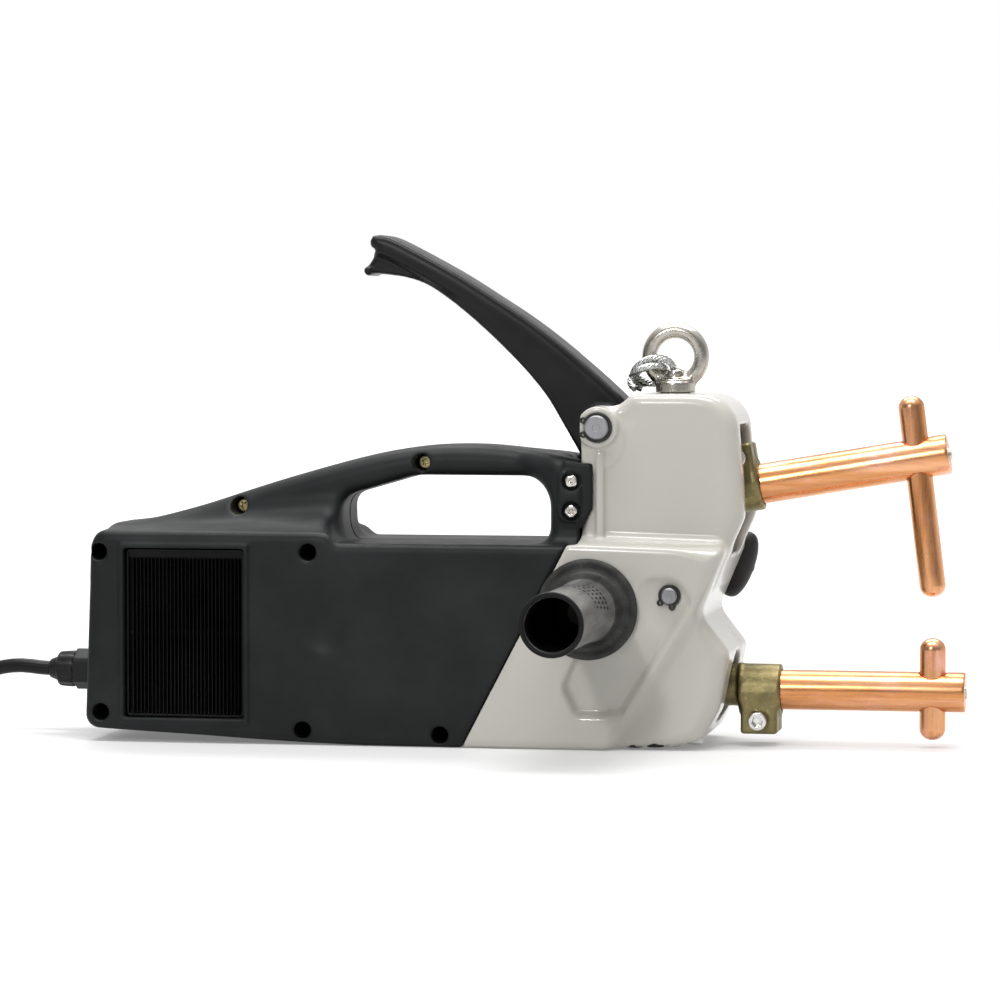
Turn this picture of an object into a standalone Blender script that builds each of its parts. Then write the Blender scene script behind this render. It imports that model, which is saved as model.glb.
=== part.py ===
"""Hand-held pincer spot welder: moulded casing, cast head, squeeze lever and copper arms.

Frame: +X towards the arms, +Y away from the side handle, +Z up. Z = 0 is the flat base,
Y = 0 the mid-plane. The numbers below are millimetres.
"""

import math

import bmesh
import bpy
from mathutils import Matrix, Vector

MM = 0.001
GAP = 0.3

# Casing
CASE_HALF = 48.5
WALL = 3.0
SHOULDER_Z = 100.8
REAR_TOP_Z = 105.5
GRIP_HALF = 19.5
POST_HALF = 36.3
SPLIT = 0.15
CASE_END_X = 46.5
POST_FOOT_Z = 101.3
JOINT_LOW = (-11.0, 0.0)
JOINT_HIGH = (41.8, 101.0)
SPINE = [(-190, 106), (-156, 116.2), (-104, 132.9), (-52, 146.3), (-13, 149.4), (26, 145.9), (47, 142)]
WINDOW = [(-79, 101.2, 11), (31.2, 101.2, 14), (31.2, 134.2, 14), (-42, 134.2, 30), (-79, 123, 9)]
VENT = (-182.9, -121.3, 12.5, 97.6)
VENT_SLATS = 29
CASE_SCREWS = [(-196.2, 95.6), (-195.6, 14.8), (-88.5, 96.3), (-91.4, 7.5), (-21.6, 6.3)]
GRIP_SCREWS = [(-130.8, 117.8), (-36.7, 140.3)]
SCREW_HOLE_R = 4.25

# Head casting
LOWER_HALF = 48.5
NOSE_HALF = 42.0
UPPER_HALF = 34.0
HEAD_TOP_Z = 175.3
SLOT_HALF = 19.0
LEDGE_Z = 101.0
SHANK_R = 10.6
SHANK_Z = 29.6
COLLAR_R = 14.6
TAB_BOLTS = [(42.7, 132.2), (42.6, 117.4)]
# x, y, lowest z, seat z and finish
BOTTOM_SCREWS = [
    (74.0, -35, 0.9, 3.8, "black_steel"), (84.6, -35, 1.2, 4.4, "black_steel"),
    (91.2, -24, 0.4, 4.9, "steel"), (101.6, -14, 0.8, 6.2, "steel"),
]

# Mechanism
LEVER_PIVOT = (55.6, 158.8)
LEVER_PIN_R = 6.0
ROCKER_PIVOT = (93.2, 76.8)
ROCKER_PIN_R = 4.0
CRANK_R = 15.8
CRANK_ANGLE = -110.0
LINK_TOP = (92.0, 138.0)
LINK_PIN_R = 3.0
LEVER_HALF = 15.5
LEVER_WALL = 3.5
HEEL_R = 22.0
SWITCH_TRAVEL = 2.0
LEVER_TRAVEL = 36.0

# Arms and electrodes
ARM_R = 10.0
ARM_CLEAR = 0.2
UPPER_ARM_TILT = 9.44
UPPER_ARM_POINT = (131.9, 130.0)
UPPER_ARM_SPAN = (-13.0, 95.2)
LOWER_ARM_Z = 27.4
LOWER_ARM_SPAN = (-6.5, 102.6)
ELECTRODE_R = 6.5
UPPER_ELECTRODE_TILT = 7.05
UPPER_ELECTRODE_TIP = (218.7, 74.6)
UPPER_ELECTRODE_LENGTH = 100.4
LOWER_ELECTRODE_X = 218.2
LOWER_ELECTRODE_SPAN = (3.5, 54.3)
SET_SCREW_R = 3.0
SPRING_LOW_Z = 103.6
SPRING_TOP_Z = 128.0

# Hand grip, eyebolt and supply lead
GRIP_AXIS = (52.7, 69.7)
EYE_X = 89.3
EYE_RING_R = 13.1
EYE_WIRE_R = 3.8
GLAND_Z = 32.2
GLAND_END_X = -236.0
CORD_R = 3.75
CORD_HUMP = (-252.0, 33.4)
CORD_FLOOR_X = -335.0
CORD_FLOOR_Z = 3.95
CORD_END_X = -346.9
COIL_CENTRE = (-375.0, 49.7)
COIL_INNER_R = 30.3
COIL_OUTER_R = 53.7
COIL_LOW_Z = 1.1
COIL_HIGH_Z = 23.4
PLUG_OFFSET = 49.7

PALETTE = {
    "casing": ((0.018, 0.020, 0.022), 0.48, 0.0),
    "gloss_black": ((0.008, 0.008, 0.009), 0.25, 0.0),
    "head_paint": ((0.60, 0.58, 0.54), 0.28, 0.0),
    "steel": ((0.58, 0.58, 0.59), 0.30, 1.0),
    "black_steel": ((0.03, 0.03, 0.03), 0.40, 0.8),
    "yellow_zinc": ((0.55, 0.47, 0.26), 0.35, 1.0),
    "brass": ((0.42, 0.36, 0.18), 0.45, 1.0),
    "copper": ((0.82, 0.46, 0.28), 0.25, 1.0),
    "rubber": ((0.02, 0.02, 0.02), 0.60, 0.0),
    "insulator": ((0.05, 0.045, 0.04), 0.60, 0.0),
    "laminations": ((0.20, 0.20, 0.21), 0.50, 0.8),
    "winding": ((0.45, 0.20, 0.08), 0.50, 0.2),
    "board": ((0.03, 0.16, 0.07), 0.50, 0.0),
}


def clear_scene():
    for old in list(bpy.data.objects):
        bpy.data.objects.remove(old, do_unlink=True)


def material(name):
    found = bpy.data.materials.get(name)
    if found:
        return found
    colour, roughness, metallic = PALETTE[name]
    made = bpy.data.materials.new(name)
    made.use_nodes = True
    shader = made.node_tree.nodes["Principled BSDF"]
    shader.inputs["Base Color"].default_value = (*colour, 1.0)
    shader.inputs["Roughness"].default_value = roughness
    shader.inputs["Metallic"].default_value = metallic
    return made


# Outlines: lists of 2-D points, and corners that also give a fillet radius.


def rounded(corners, steps=4):
    """The outline through these (a, b, radius) corners, with an arc at each that has a radius."""
    outline = []
    for index, (a, b, *rest) in enumerate(corners):
        radius = rest[0] if rest else 0
        corner = Vector((a, b))
        before = (Vector(corners[index - 1][:2]) - corner).normalized()
        after = (Vector(corners[(index + 1) % len(corners)][:2]) - corner).normalized()
        opening = before.angle(after)
        if radius <= 0 or opening > math.radians(178):
            outline.append((a, b))
            continue
        reach = radius / math.tan(opening / 2)
        centre = corner + (before + after).normalized() * radius / math.sin(opening / 2)
        first = corner + before * reach - centre
        turn = (math.pi - opening) * (1 if before.cross(after) < 0 else -1)
        for step in range(steps + 1):
            spoke = first.copy()
            spoke.rotate(Matrix.Rotation(turn * step / steps, 2))
            outline.append(tuple(centre + spoke))
    return outline


def shrunk(corners, distance):
    """Anticlockwise corners moved inwards, or outwards by a negative distance, with their radii."""
    moved = []
    for index, (a, b, radius) in enumerate(corners):
        corner = Vector((a, b))
        before = (corner - Vector(corners[index - 1][:2])).normalized()
        after = (Vector(corners[(index + 1) % len(corners)][:2]) - corner).normalized()
        inward = Vector((-before.y, before.x)) + Vector((-after.y, after.x))
        step = inward * distance / (1 + before.dot(after))
        convex = before.cross(after) > 0
        change = -distance if convex else distance
        moved.append((a + step.x, b + step.y, max(radius + change, 0.4) if radius else 0))
    return moved


def smooth(points, steps=4):
    """A Catmull-Rom curve through these points."""
    ends = [points[0]] + list(points) + [points[-1]]
    curve = []
    for index in range(len(points) - 1):
        p0, p1, p2, p3 = (Vector(p) for p in ends[index:index + 4])
        for step in range(steps):
            t = step / steps
            curve.append(tuple(0.5 * (
                2 * p1 + (p2 - p0) * t + (2 * p0 - 5 * p1 + 4 * p2 - p3) * t * t
                + (3 * p1 - p0 - 3 * p2 + p3) * t ** 3
            )))
    curve.append(tuple(points[-1]))
    return curve


def disc(centre, radius, segments=24):
    turn = 2 * math.pi / segments
    return [
        (centre[0] + radius * math.cos(turn * i), centre[1] + radius * math.sin(turn * i))
        for i in range(segments)
    ]


# Shapes: each function returns one that draws a closed shape into a bmesh.


def prism(outline, low, high, axis="Y"):
    """An outline stretched along an axis: Y takes (x, z) points, Z takes (x, y) and X takes (y, z)."""
    place = {
        "X": lambda a, b, c: (c, a, b),
        "Y": lambda a, b, c: (a, c, b),
        "Z": lambda a, b, c: (a, b, c),
    }[axis]

    def draw(bm):
        ends = [[bm.verts.new([v * MM for v in place(a, b, c)]) for a, b in outline] for c in (low, high)]
        bm.faces.new(ends[0])
        bm.faces.new(reversed(ends[1]))
        for i in range(len(outline)):
            bm.faces.new((ends[0][i - 1], ends[1][i - 1], ends[1][i], ends[0][i]))

    return draw


def box(low, high):
    (x0, y0, z0), (x1, y1, z1) = low, high
    return prism([(x0, y0), (x1, y0), (x1, y1), (x0, y1)], z0, z1, "Z")


def turned(profile, origin, direction, segments=24, ring=False):
    """A profile of (distance along, radius) points turned about an axis. A ring's profile is closed."""
    start = Vector(origin)
    along = Vector(direction).normalized()
    frame = along.to_track_quat("Z", "Y").to_matrix()
    across, up = frame.col[0], frame.col[1]

    def draw(bm):
        rows = []
        for distance, radius in profile:
            if radius < 1e-6:
                rows.append([bm.verts.new((start + along * distance) * MM)] * segments)
                continue
            row = []
            for i in range(segments):
                angle = 2 * math.pi * (i + 0.5) / segments
                spoke = across * math.cos(angle) + up * math.sin(angle)
                row.append(bm.verts.new((start + along * distance + spoke * radius) * MM))
            rows.append(row)
        pairs = list(zip(rows, rows[1:] + rows[:1])) if ring else list(zip(rows, rows[1:]))
        for one, two in pairs:
            for i in range(segments):
                corners = [one[i - 1], one[i], two[i], two[i - 1]]
                bm.faces.new(list(dict.fromkeys(corners)))
        if not ring:
            for row, radius in ((rows[0], profile[0][1]), (rows[-1], profile[-1][1])):
                if radius >= 1e-6:
                    bm.faces.new(row)

    return draw


def rod(start, end, radius, segments=24):
    length = (Vector(end) - Vector(start)).length
    direction = Vector(end) - Vector(start)
    return turned([(0, radius), (length, radius)], start, direction, segments)


def tube(start, end, outer, inner, segments=24):
    length = (Vector(end) - Vector(start)).length
    profile = [(0, inner), (0, outer), (length, outer), (length, inner)]
    return turned(profile, start, Vector(end) - Vector(start), segments, ring=True)


def cross_rod(centre, y_low, y_high, radius, segments=24):
    """A rod along Y through this (x, z) centre."""
    return rod((centre[0], y_low, centre[1]), (centre[0], y_high, centre[1]), radius, segments)


def loft(sections):
    """A solid through (x, outline of (y, z) points) sections with equally many points."""

    def draw(bm):
        rows = [[bm.verts.new((x * MM, y * MM, z * MM)) for y, z in outline] for x, outline in sections]
        for one, two in zip(rows, rows[1:]):
            for i in range(len(one)):
                bm.faces.new((one[i - 1], one[i], two[i], two[i - 1]))
        bm.faces.new(rows[0])
        bm.faces.new(reversed(rows[-1]))

    return draw


def moved(shape, matrix):
    """The shape drawn through a matrix whose translation is in millimetres."""
    placed = matrix.copy()
    placed.translation = placed.translation * MM

    def draw(bm):
        before = set(bm.verts)
        shape(bm)
        bmesh.ops.transform(bm, matrix=placed, verts=[v for v in bm.verts if v not in before])

    return draw


def solid(name, finish, *shapes):
    bm = bmesh.new()
    for shape in shapes:
        shape(bm)
    bmesh.ops.recalc_face_normals(bm, faces=bm.faces)
    mesh = bpy.data.meshes.new(name)
    bm.to_mesh(mesh)
    bm.free()
    if finish:
        mesh.materials.append(material(finish))
    mesh.shade_smooth()
    mesh.set_sharp_from_angle(angle=math.radians(35))
    made = bpy.data.objects.new(name, mesh)
    bpy.context.scene.collection.objects.link(made)
    return made


def combine(target, operation, *shapes):
    """Joins shapes to the target, cuts them from it or keeps what they share, and returns the tool."""
    tool = solid(f"{target.name}_{operation.lower()}_{len(target.modifiers)}", None, *shapes)
    combine_with(target, operation, tool)
    return tool


def combine_with(target, operation, tool):
    tool.hide_render = True
    tool.display_type = "WIRE"
    change = target.modifiers.new(operation.lower(), "BOOLEAN")
    change.operation = operation
    change.object = tool
    change.solver = "EXACT"


def pivot(name, x, y, z):
    empty = bpy.data.objects.new(name, None)
    empty.location = (x * MM, y * MM, z * MM)
    empty.empty_display_size = 0.01
    bpy.context.scene.collection.objects.link(empty)
    return empty


def hang(empty, *pieces):
    """Parents the pieces to an empty on their joint's axis, where they stand."""
    for piece in pieces:
        piece.parent = empty
        piece.matrix_parent_inverse = Matrix.Translation(-empty.location)


# Casing


def casing_body():
    low_x, low_z = JOINT_LOW
    high_x, _ = JOINT_HIGH
    return [
        (low_x - GAP, low_z, 0), (high_x - GAP, SHOULDER_Z, 2), (-74, SHOULDER_Z, 3),
        (-79, REAR_TOP_Z, 4), (-200.6, REAR_TOP_Z, 9), (-204, 7.0, 7), (-160, 4.6, 0),
        (-118, 2.2, 0), (-60, 0, 0),
    ]


def casing_hollow():
    """The body moved in by the wall, and run past the diagonal joint, where it is open."""
    corners = shrunk(casing_body(), WALL)
    return [(x + 25, z, 0) for x, z, _ in corners[:2]] + corners[2:]


def spine_line(drop):
    return [(x, z - drop) for x, z in smooth(SPINE)]


def handle_outline(drop):
    """The handle seen from the side, its top line lowered by drop, down into the body."""
    top = spine_line(drop)
    if drop:
        foot = [(-186, 90), (CASE_END_X + drop, 90)]
    else:
        foot = [(-188, 90), (35, 90), (41.2, POST_FOOT_Z), (CASE_END_X, POST_FOOT_Z)]
    return foot + [(CASE_END_X + drop, top[-1][1])] + top[::-1][1:]


def post_plan(drop):
    """The handle's front post seen from above, for one side, from the mid-plane outwards."""
    end_x = CASE_END_X + drop * 3
    return [(10, -1), (10, GRIP_HALF - drop), (20, GRIP_HALF + 1 - drop), (33, POST_HALF - 3 - drop),
            (37, POST_HALF - drop), (end_x, POST_HALF - drop), (end_x, -1)]


def shoulder_section(height, drop):
    return [(-1, 92), (44.0 - drop, 92), (44.0 - drop, 105.0 - drop), (GRIP_HALF - drop, height - drop),
            (-1, height - drop)]


def side_shapes(side, drop):
    """The casing's outer shapes, or its hollow when drop is the wall thickness."""
    flip = Matrix.Diagonal((1, side, 1, 1))
    outline = rounded(casing_hollow() if drop else casing_body())
    shapes = {
        "body": prism(outline, -1, CASE_HALF - drop),
        "shoulder": loft([(-192 + drop, shoulder_section(107.5, drop)),
                          (-80.5 - drop, shoulder_section(117.5, drop))]),
        "handle": prism(handle_outline(drop), -1, GRIP_HALF - drop),
    }
    return {name: moved(shape, flip) for name, shape in shapes.items()}


def post_tool(name, side, drop):
    """The front post: its plan kept only under the spine line and above the shoulder."""
    flip = Matrix.Diagonal((1, side, 1, 1))
    post = solid(name, None, moved(prism(post_plan(drop), 95, 150, "Z"), flip))
    end_x = CASE_END_X + drop * 3
    line = [(x, z) for x, z in spine_line(drop)[::-1] if 8 < x < CASE_END_X]
    foot = [(8, 96), (end_x, 96)]
    if not drop:
        foot = [(8, 96), (38.4, 96), (41.2, POST_FOOT_Z), (end_x, POST_FOOT_Z)]
    side_view = foot + [(end_x, SPINE[-1][1] - drop)] + line + [(8, line[-1][1])]
    combine(post, "INTERSECT", prism(side_view, -60, 60))
    return post


def casing_half(name, side):
    outer = side_shapes(side, 0)
    half = solid(name, "casing", outer["body"])
    combine(half, "UNION", outer["shoulder"])
    combine(half, "UNION", outer["handle"])
    combine_with(half, "UNION", post_tool(f"{name}_post", side, 0))
    flip = Matrix.Diagonal((1, side, 1, 1))
    tab = rounded([(40, 109), (48.4, 109, 1), (53.4, 119, 2), (53.4, 141, 2), (40, 142.3)])
    plate = rounded([(36, 112.5, 3), (47.2, 112.5, 3), (47.2, 136.8, 3), (36, 136.8, 3)])
    combine(half, "UNION", moved(prism(tab, UPPER_HALF + GAP, POST_HALF + 0.01), flip))
    combine(half, "UNION", moved(prism(plate, POST_HALF - 1, POST_HALF + 1.7), flip))
    combine(half, "UNION", rod((-195, 0, GLAND_Z + 1), (-212, 0, GLAND_Z + 1), 14))
    inner = side_shapes(side, WALL)
    combine(half, "DIFFERENCE", inner["body"])
    combine(half, "DIFFERENCE", inner["shoulder"])
    window_wall = prism(rounded(shrunk(WINDOW, -WALL)), -70, 70)
    handle_hollow = solid(f"{name}_handle_hollow", None, inner["handle"])
    for hollow in (handle_hollow, post_tool(f"{name}_post_hollow", side, WALL)):
        combine(hollow, "DIFFERENCE", window_wall)
        combine_with(half, "DIFFERENCE", hollow)
    combine(half, "DIFFERENCE", prism(rounded(WINDOW), -70, 70))
    open_front = [(53.8, 96), (53.8, 160), (43.9, 160), (43.9, 140.5), (39, 139), (39, 101)]
    combine(half, "DIFFERENCE", prism(open_front, -UPPER_HALF + 1, UPPER_HALF - 1))
    combine(half, "DIFFERENCE", prism(disc(LEVER_PIVOT, HEEL_R + 2.5, 40), -LEVER_HALF - 2, LEVER_HALF + 2))
    add_bosses(half, side)
    x0, x1, z0, z1 = VENT
    combine(half, "DIFFERENCE", moved(box((x0, 30, z0), (x1, 60, z1)), flip))
    combine(half, "DIFFERENCE", rod((-190, 0, GLAND_Z), (-230, 0, GLAND_Z), 5.2))
    combine(half, "DIFFERENCE", box((-230, SPLIT * side, -5), (70, -80 * side, 170)))


def add_bosses(half, side):
    """Pillars for the casing screws, with counterbores from the near face."""
    faces = [(x, z, CASE_HALF, 6.4, 12) for x, z in CASE_SCREWS]
    faces += [(x, z, GRIP_HALF, 5.8, 6.4) for x, z in GRIP_SCREWS]
    pillars = [cross_rod((x, z), 0, side * (face - 1.2), r, 16) for x, z, face, r, _ in faces]
    combine(half, "UNION", *pillars)
    holes = [cross_rod((x, z), -60, face - 3, 2.3, 12) for x, z, face, _, _ in faces]
    if side < 0:
        wells = [cross_rod((x, z), -60, -seat, SCREW_HOLE_R, 20) for x, z, _, _, seat in faces]
        combine(half, "DIFFERENCE", *wells)
    holes += [cross_rod(at, -60, 60, 2.8, 12) for at in TAB_BOLTS]
    combine(half, "DIFFERENCE", *holes)


def vent_grille(name, side):
    x0, x1, z0, z1 = VENT
    x0, x1, z0, z1 = x0 + GAP, x1 - GAP, z0 + GAP, z1 - GAP
    rim = 2.4
    y_out, y_in = 47.2 * side, 42.0 * side
    frame = solid(name, "gloss_black", box((x0, y_in, z0), (x1, y_out, z1)))
    combine(frame, "DIFFERENCE", box((x0 + rim, y_in - 9, z0 + rim), (x1 - rim, y_in + 9, z1 - rim)))
    pitch = (x1 - x0 - 2 * rim) / (VENT_SLATS + 1)
    slats = []
    for i in range(VENT_SLATS):
        x = x0 + rim + pitch * (i + 1)
        slats.append(box((x - 0.6, 43.0 * side, z0 + 1), (x + 0.6, 46.4 * side, z1 - 1)))
    combine(frame, "UNION", *slats)
    return frame


def casing_screws():
    for number, (x, z) in enumerate(CASE_SCREWS, 1):
        shape = turned([(0, 3.7), (2.6, 3.7), (2.6, 1.9), (38, 1.9)], (x, -15.0, z), (0, 1, 0), 16)
        solid(f"casing_screw_{number}", "black_steel", shape)
    for number, (x, z) in enumerate(GRIP_SCREWS, 1):
        shape = turned([(0, 3.7), (2.2, 3.7), (2.2, 1.9), (18, 1.9)], (x, -9.1, z), (0, 1, 0), 16)
        solid(f"grip_screw_{number}", "yellow_zinc", shape)
    for number, (x, z) in enumerate(TAB_BOLTS, 1):
        profile = [(0, 4.0), (3.2, 4.0), (3.2, 2.5), (73, 2.5)]
        solid(f"tab_bolt_{number}", "steel", turned(profile, (x, -41.5, z), (0, 1, 0), 16))


# Head casting


def lower_corners():
    return [
        (JOINT_LOW[0] + GAP, 0, 0), (60, 0, 0), (96, 3.0, 0), (107.5, 4.6, 6), (116.2, 20, 14),
        (121.8, 48.5, 4), (107.2, 67, 7), (121.6, LEDGE_Z, 3), (JOINT_HIGH[0] + GAP, LEDGE_Z, 2),
    ]


def upper_corners():
    return [
        (47, 92, 0), (112.2, 80, 0), (127.6, 114.5, 9), (126.8, 134, 30), (123, HEAD_TOP_Z, 17),
        (71, HEAD_TOP_Z, 4), (64, 169.6, 6), (47, 169, 9),
    ]


def diagonal_band(shift_low, shift_high, low, high):
    """A band parallel to the casing joint, between two shifts along X."""
    slope = (JOINT_HIGH[0] - JOINT_LOW[0]) / (JOINT_HIGH[1] - JOINT_LOW[1])
    start = JOINT_LOW[0]
    return [
        (start + shift_low + slope * low, low), (start + shift_high + slope * low, low),
        (start + shift_high + slope * high, high), (start + shift_low + slope * high, high),
    ]


def head_casting():
    head = solid("head_casting", "head_paint", prism(rounded(lower_corners()), -NOSE_HALF, NOSE_HALF))
    band = diagonal_band(GAP, 69.5, 0.02, LEDGE_Z - 0.4)
    combine(head, "UNION", prism(rounded([(x, z, 0.5) for x, z in band], 2), -LOWER_HALF, LOWER_HALF))
    combine(head, "UNION", prism(rounded(upper_corners()), -UPPER_HALF, UPPER_HALF))
    combine(head, "UNION", cross_rod(LEVER_PIVOT, -38, 38, 10.2))
    hollow_low = rounded([(-40, 5), (60, 6), (101, 9.5, 6), (110, 21, 4), (115.4, 45, 2), (101.3, 66, 6),
                          (113, 95.5), (-40, 95.5)])
    combine(head, "DIFFERENCE", prism(hollow_low, -36.5, 36.5))
    wide = [(x, z, 1) for x, z in diagonal_band(-30, 62, 5.5, 96)]
    combine(head, "DIFFERENCE", prism(rounded(wide, 2), -43, 43))
    hollow_high = rounded([(20, 90), (109, 90), (121, 113, 6), (120.4, 140, 20), (116.8, 169.5, 12),
                           (75, 169.5, 3), (75, 190), (20, 190)])
    combine(head, "DIFFERENCE", prism(hollow_high, -28, 28))
    lugs = [box((37.5, min(s * 22, s * 32.6), 112), (52, max(s * 22, s * 32.6), 138)) for s in (-1, 1)]
    spring_bar = box((67.4, -29, SPRING_TOP_Z + GAP), (78, 29, SPRING_TOP_Z + 2.8))
    combine(head, "UNION", *lugs, spring_bar)
    combine(head, "DIFFERENCE", box((100, -SLOT_HALF, 96), (150, SLOT_HALF, 159.5)))
    mouth = rounded([(-15, 11, 12), (15, 11, 12), (15, 46.5, 12), (-15, 46.5, 12)], 4)
    combine(head, "DIFFERENCE", prism(mouth, 100, 150, "X"))
    holes = [cross_rod(LEVER_PIVOT, -60, 60, LEVER_PIN_R + GAP)]
    holes += [cross_rod(ROCKER_PIVOT, -60, 60, ROCKER_PIN_R + GAP, 20)]
    holes += [cross_rod(at, -60, 60, 2.8, 12) for at in TAB_BOLTS]
    holes += [rod((EYE_X, 0, 150), (EYE_X, 0, 200), 4.3, 20)]
    holes += [cross_rod(GRIP_AXIS, -60, -30, 4.3, 16)]
    for x, y, _, seat, _ in BOTTOM_SCREWS:
        holes.append(turned([(-4, 4.9), (seat, 4.9), (seat, 2.8), (14, 2.8)], (x, y, 0), (0, 0, 1), 16))
    combine(head, "DIFFERENCE", *holes)


def bottom_screws():
    for number, (x, y, low, seat, finish) in enumerate(BOTTOM_SCREWS, 1):
        profile = [(low, 4.3), (seat - GAP, 4.3), (seat - GAP, 2.4), (13, 2.4)]
        solid(f"bottom_screw_{number}", finish, turned(profile, (x, y, 0), (0, 0, 1), 16))


# Lever, link and rocker


def lever_top(drop_x=0.0, drop_z=0.0):
    line = smooth([(70, 164), (63, 174), (38.5, 195.8), (18.3, 211.4), (-2, 224.7), (-22, 237),
                   (-50, 251.9), (-59.5, 255)], 3)
    return [(x - drop_x, z - drop_z) for x, z in line]


def lever_heel():
    """A cam about the pivot, which comes nearer to the axis towards the front."""
    outline = []
    for degrees in range(-122, -8, 9):
        radius = HEEL_R - max(0, degrees + 114) * SWITCH_TRAVEL / LEVER_TRAVEL
        angle = math.radians(degrees)
        outline.append((LEVER_PIVOT[0] + radius * math.cos(angle), LEVER_PIVOT[1] + radius * math.sin(angle)))
    return outline


def lever():
    tip = [(-64.4, 252.2), (-62, 247), (-67.6, 237.8), (-66.2, 234)]
    under = smooth([(-61, 234.6), (-49, 233.2), (-35.7, 229.2), (-20.4, 219.3), (-2.5, 204.3),
                    (12.8, 189.3), (25.5, 174.3), (34.6, 159.4), (42.4, 146)], 2)
    outline = lever_top() + tip + under + lever_heel()
    body = solid("lever", "gloss_black", prism(outline, -LEVER_HALF, LEVER_HALF))
    inside = [(-58, 225), (-20, 205), (0, 180), (20, 150), (44, 120), (80, 120), (80, 160)]
    channel = lever_top(2.6, 4.2)[3:-2] + inside
    combine(body, "DIFFERENCE", prism(channel, -LEVER_HALF + LEVER_WALL, LEVER_HALF - LEVER_WALL))
    x, z = LEVER_PIVOT
    hubs = [tube((x, s * 12.5, z), (x, s * 27.4, z), 10.5, LEVER_PIN_R + GAP) for s in (-1, 1)]
    combine(body, "UNION", *hubs)
    combine(body, "DIFFERENCE", cross_rod(LEVER_PIVOT, -40, 40, LEVER_PIN_R + GAP),
            cross_rod(crank_pin_place(), -40, 40, LINK_PIN_R + GAP, 20))
    reach = LEVER_HALF - 0.4
    pin = solid("crank_pin", "steel", cross_rod(crank_pin_place(), -reach, reach, LINK_PIN_R, 20))
    hang(pivot("lever_axis", x, 0, z), body, pin)


def crank_pin_place():
    angle = math.radians(CRANK_ANGLE)
    return (LEVER_PIVOT[0] + CRANK_R * math.cos(angle), LEVER_PIVOT[1] + CRANK_R * math.sin(angle))


def circlip(name, centre, y, thickness, shaft_r, lug_angle):
    """An open retaining ring with a lug at each end, lying flat round a shaft."""
    inner, outer, lug = shaft_r + GAP, shaft_r + 2.0, shaft_r + 3.8
    gap, root = math.radians(11), math.radians(25)
    start = math.radians(lug_angle)
    steps = [i / 16 for i in range(17)]
    places = [(outer, start + root + (2 * math.pi - 2 * root) * t) for t in steps]
    places += [(lug, start - root), (lug, start - gap)]
    places += [(inner, start - gap - (2 * math.pi - 2 * gap) * t) for t in steps]
    places += [(lug, start + gap), (lug, start + root)]
    outline = [(centre[0] + r * math.cos(a), centre[1] + r * math.sin(a)) for r, a in places]
    solid(name, "black_steel", prism(outline, y, y + thickness))


def pins():
    x, z = LEVER_PIVOT
    body = [(0, 5.4), (0.6, LEVER_PIN_R), (81.4, LEVER_PIN_R), (82, 5.4)]
    solid("lever_pin", "steel", turned(body, (x, -41, z), (0, 1, 0)))
    circlip("lever_circlip_near", LEVER_PIVOT, -39.6, 1.2, LEVER_PIN_R, 195)
    circlip("lever_circlip_far", LEVER_PIVOT, 38.4, 1.2, LEVER_PIN_R, 195)
    x, z = ROCKER_PIVOT
    body = [(0, 3.5), (0.5, ROCKER_PIN_R), (101.5, ROCKER_PIN_R), (102, 3.5)]
    solid("rocker_pin", "steel", turned(body, (x, -51, z), (0, 1, 0), 20))
    circlip("rocker_circlip_near", ROCKER_PIVOT, -49.9, 1.0, ROCKER_PIN_R, 248)
    circlip("rocker_circlip_far", ROCKER_PIVOT, 48.9, 1.0, ROCKER_PIN_R, 248)


def toggle_link():
    start, end = Vector(crank_pin_place()), Vector(LINK_TOP)
    angle = math.atan2(end.y - start.y, end.x - start.x)
    outline = []
    for centre, turn in ((end, angle - math.pi / 2), (start, angle + math.pi / 2)):
        for i in range(10):
            a = turn + math.pi * i / 9
            outline.append((centre.x + 6.2 * math.cos(a), centre.y + 6.2 * math.sin(a)))
    link = solid("toggle_link", "steel", prism(outline, -3, 3))
    combine(link, "DIFFERENCE", cross_rod(start, -10, 10, LINK_PIN_R + GAP, 20),
            cross_rod(end, -10, 10, LINK_PIN_R + 1.0, 20))
    hang(pivot("link_axis", start.x, 0, start.y), link)


def arm_frame(point, tilt):
    """A matrix whose local X runs along an arm from this (x, z) point."""
    turn = Matrix.Rotation(-math.radians(tilt), 4, "Y")
    return Matrix.Translation((point[0], 0, point[1])) @ turn


def clamp_shapes(back, front, ear):
    """A split clamp round an arm, in the arm's own frame, with ears on the side that ear says."""
    width = front - back
    shell = rod((back, 0, 0), (front, 0, 0), 12.9)
    ears = box((back + 1.2, -12.6, min(0, ear * 21.6)), (back + width - 1, 12.6, max(0, ear * 21.6)))
    bore = rod((back + 2.5, 0, 0), (front + 20, 0, 0), ARM_R + ARM_CLEAR)
    split = box((back - 2, -1.1, min(2 * ear, ear * 30)), (front + 5, 1.1, max(2 * ear, ear * 30)))
    screw = cross_rod((back + width / 2, ear * 14.6), -30, 30, 2.8, 12)
    return shell, ears, bore, split, screw


def clamp_screw(name, x, z, matrix):
    profile = [(0, 4.1), (0.4, 4.5), (5, 4.5), (5, 2.5), (30, 2.5)]
    shape = turned(profile, (x, -18.0, z), (0, 1, 0), 16)
    return solid(name, "steel", moved(shape, matrix))


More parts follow.
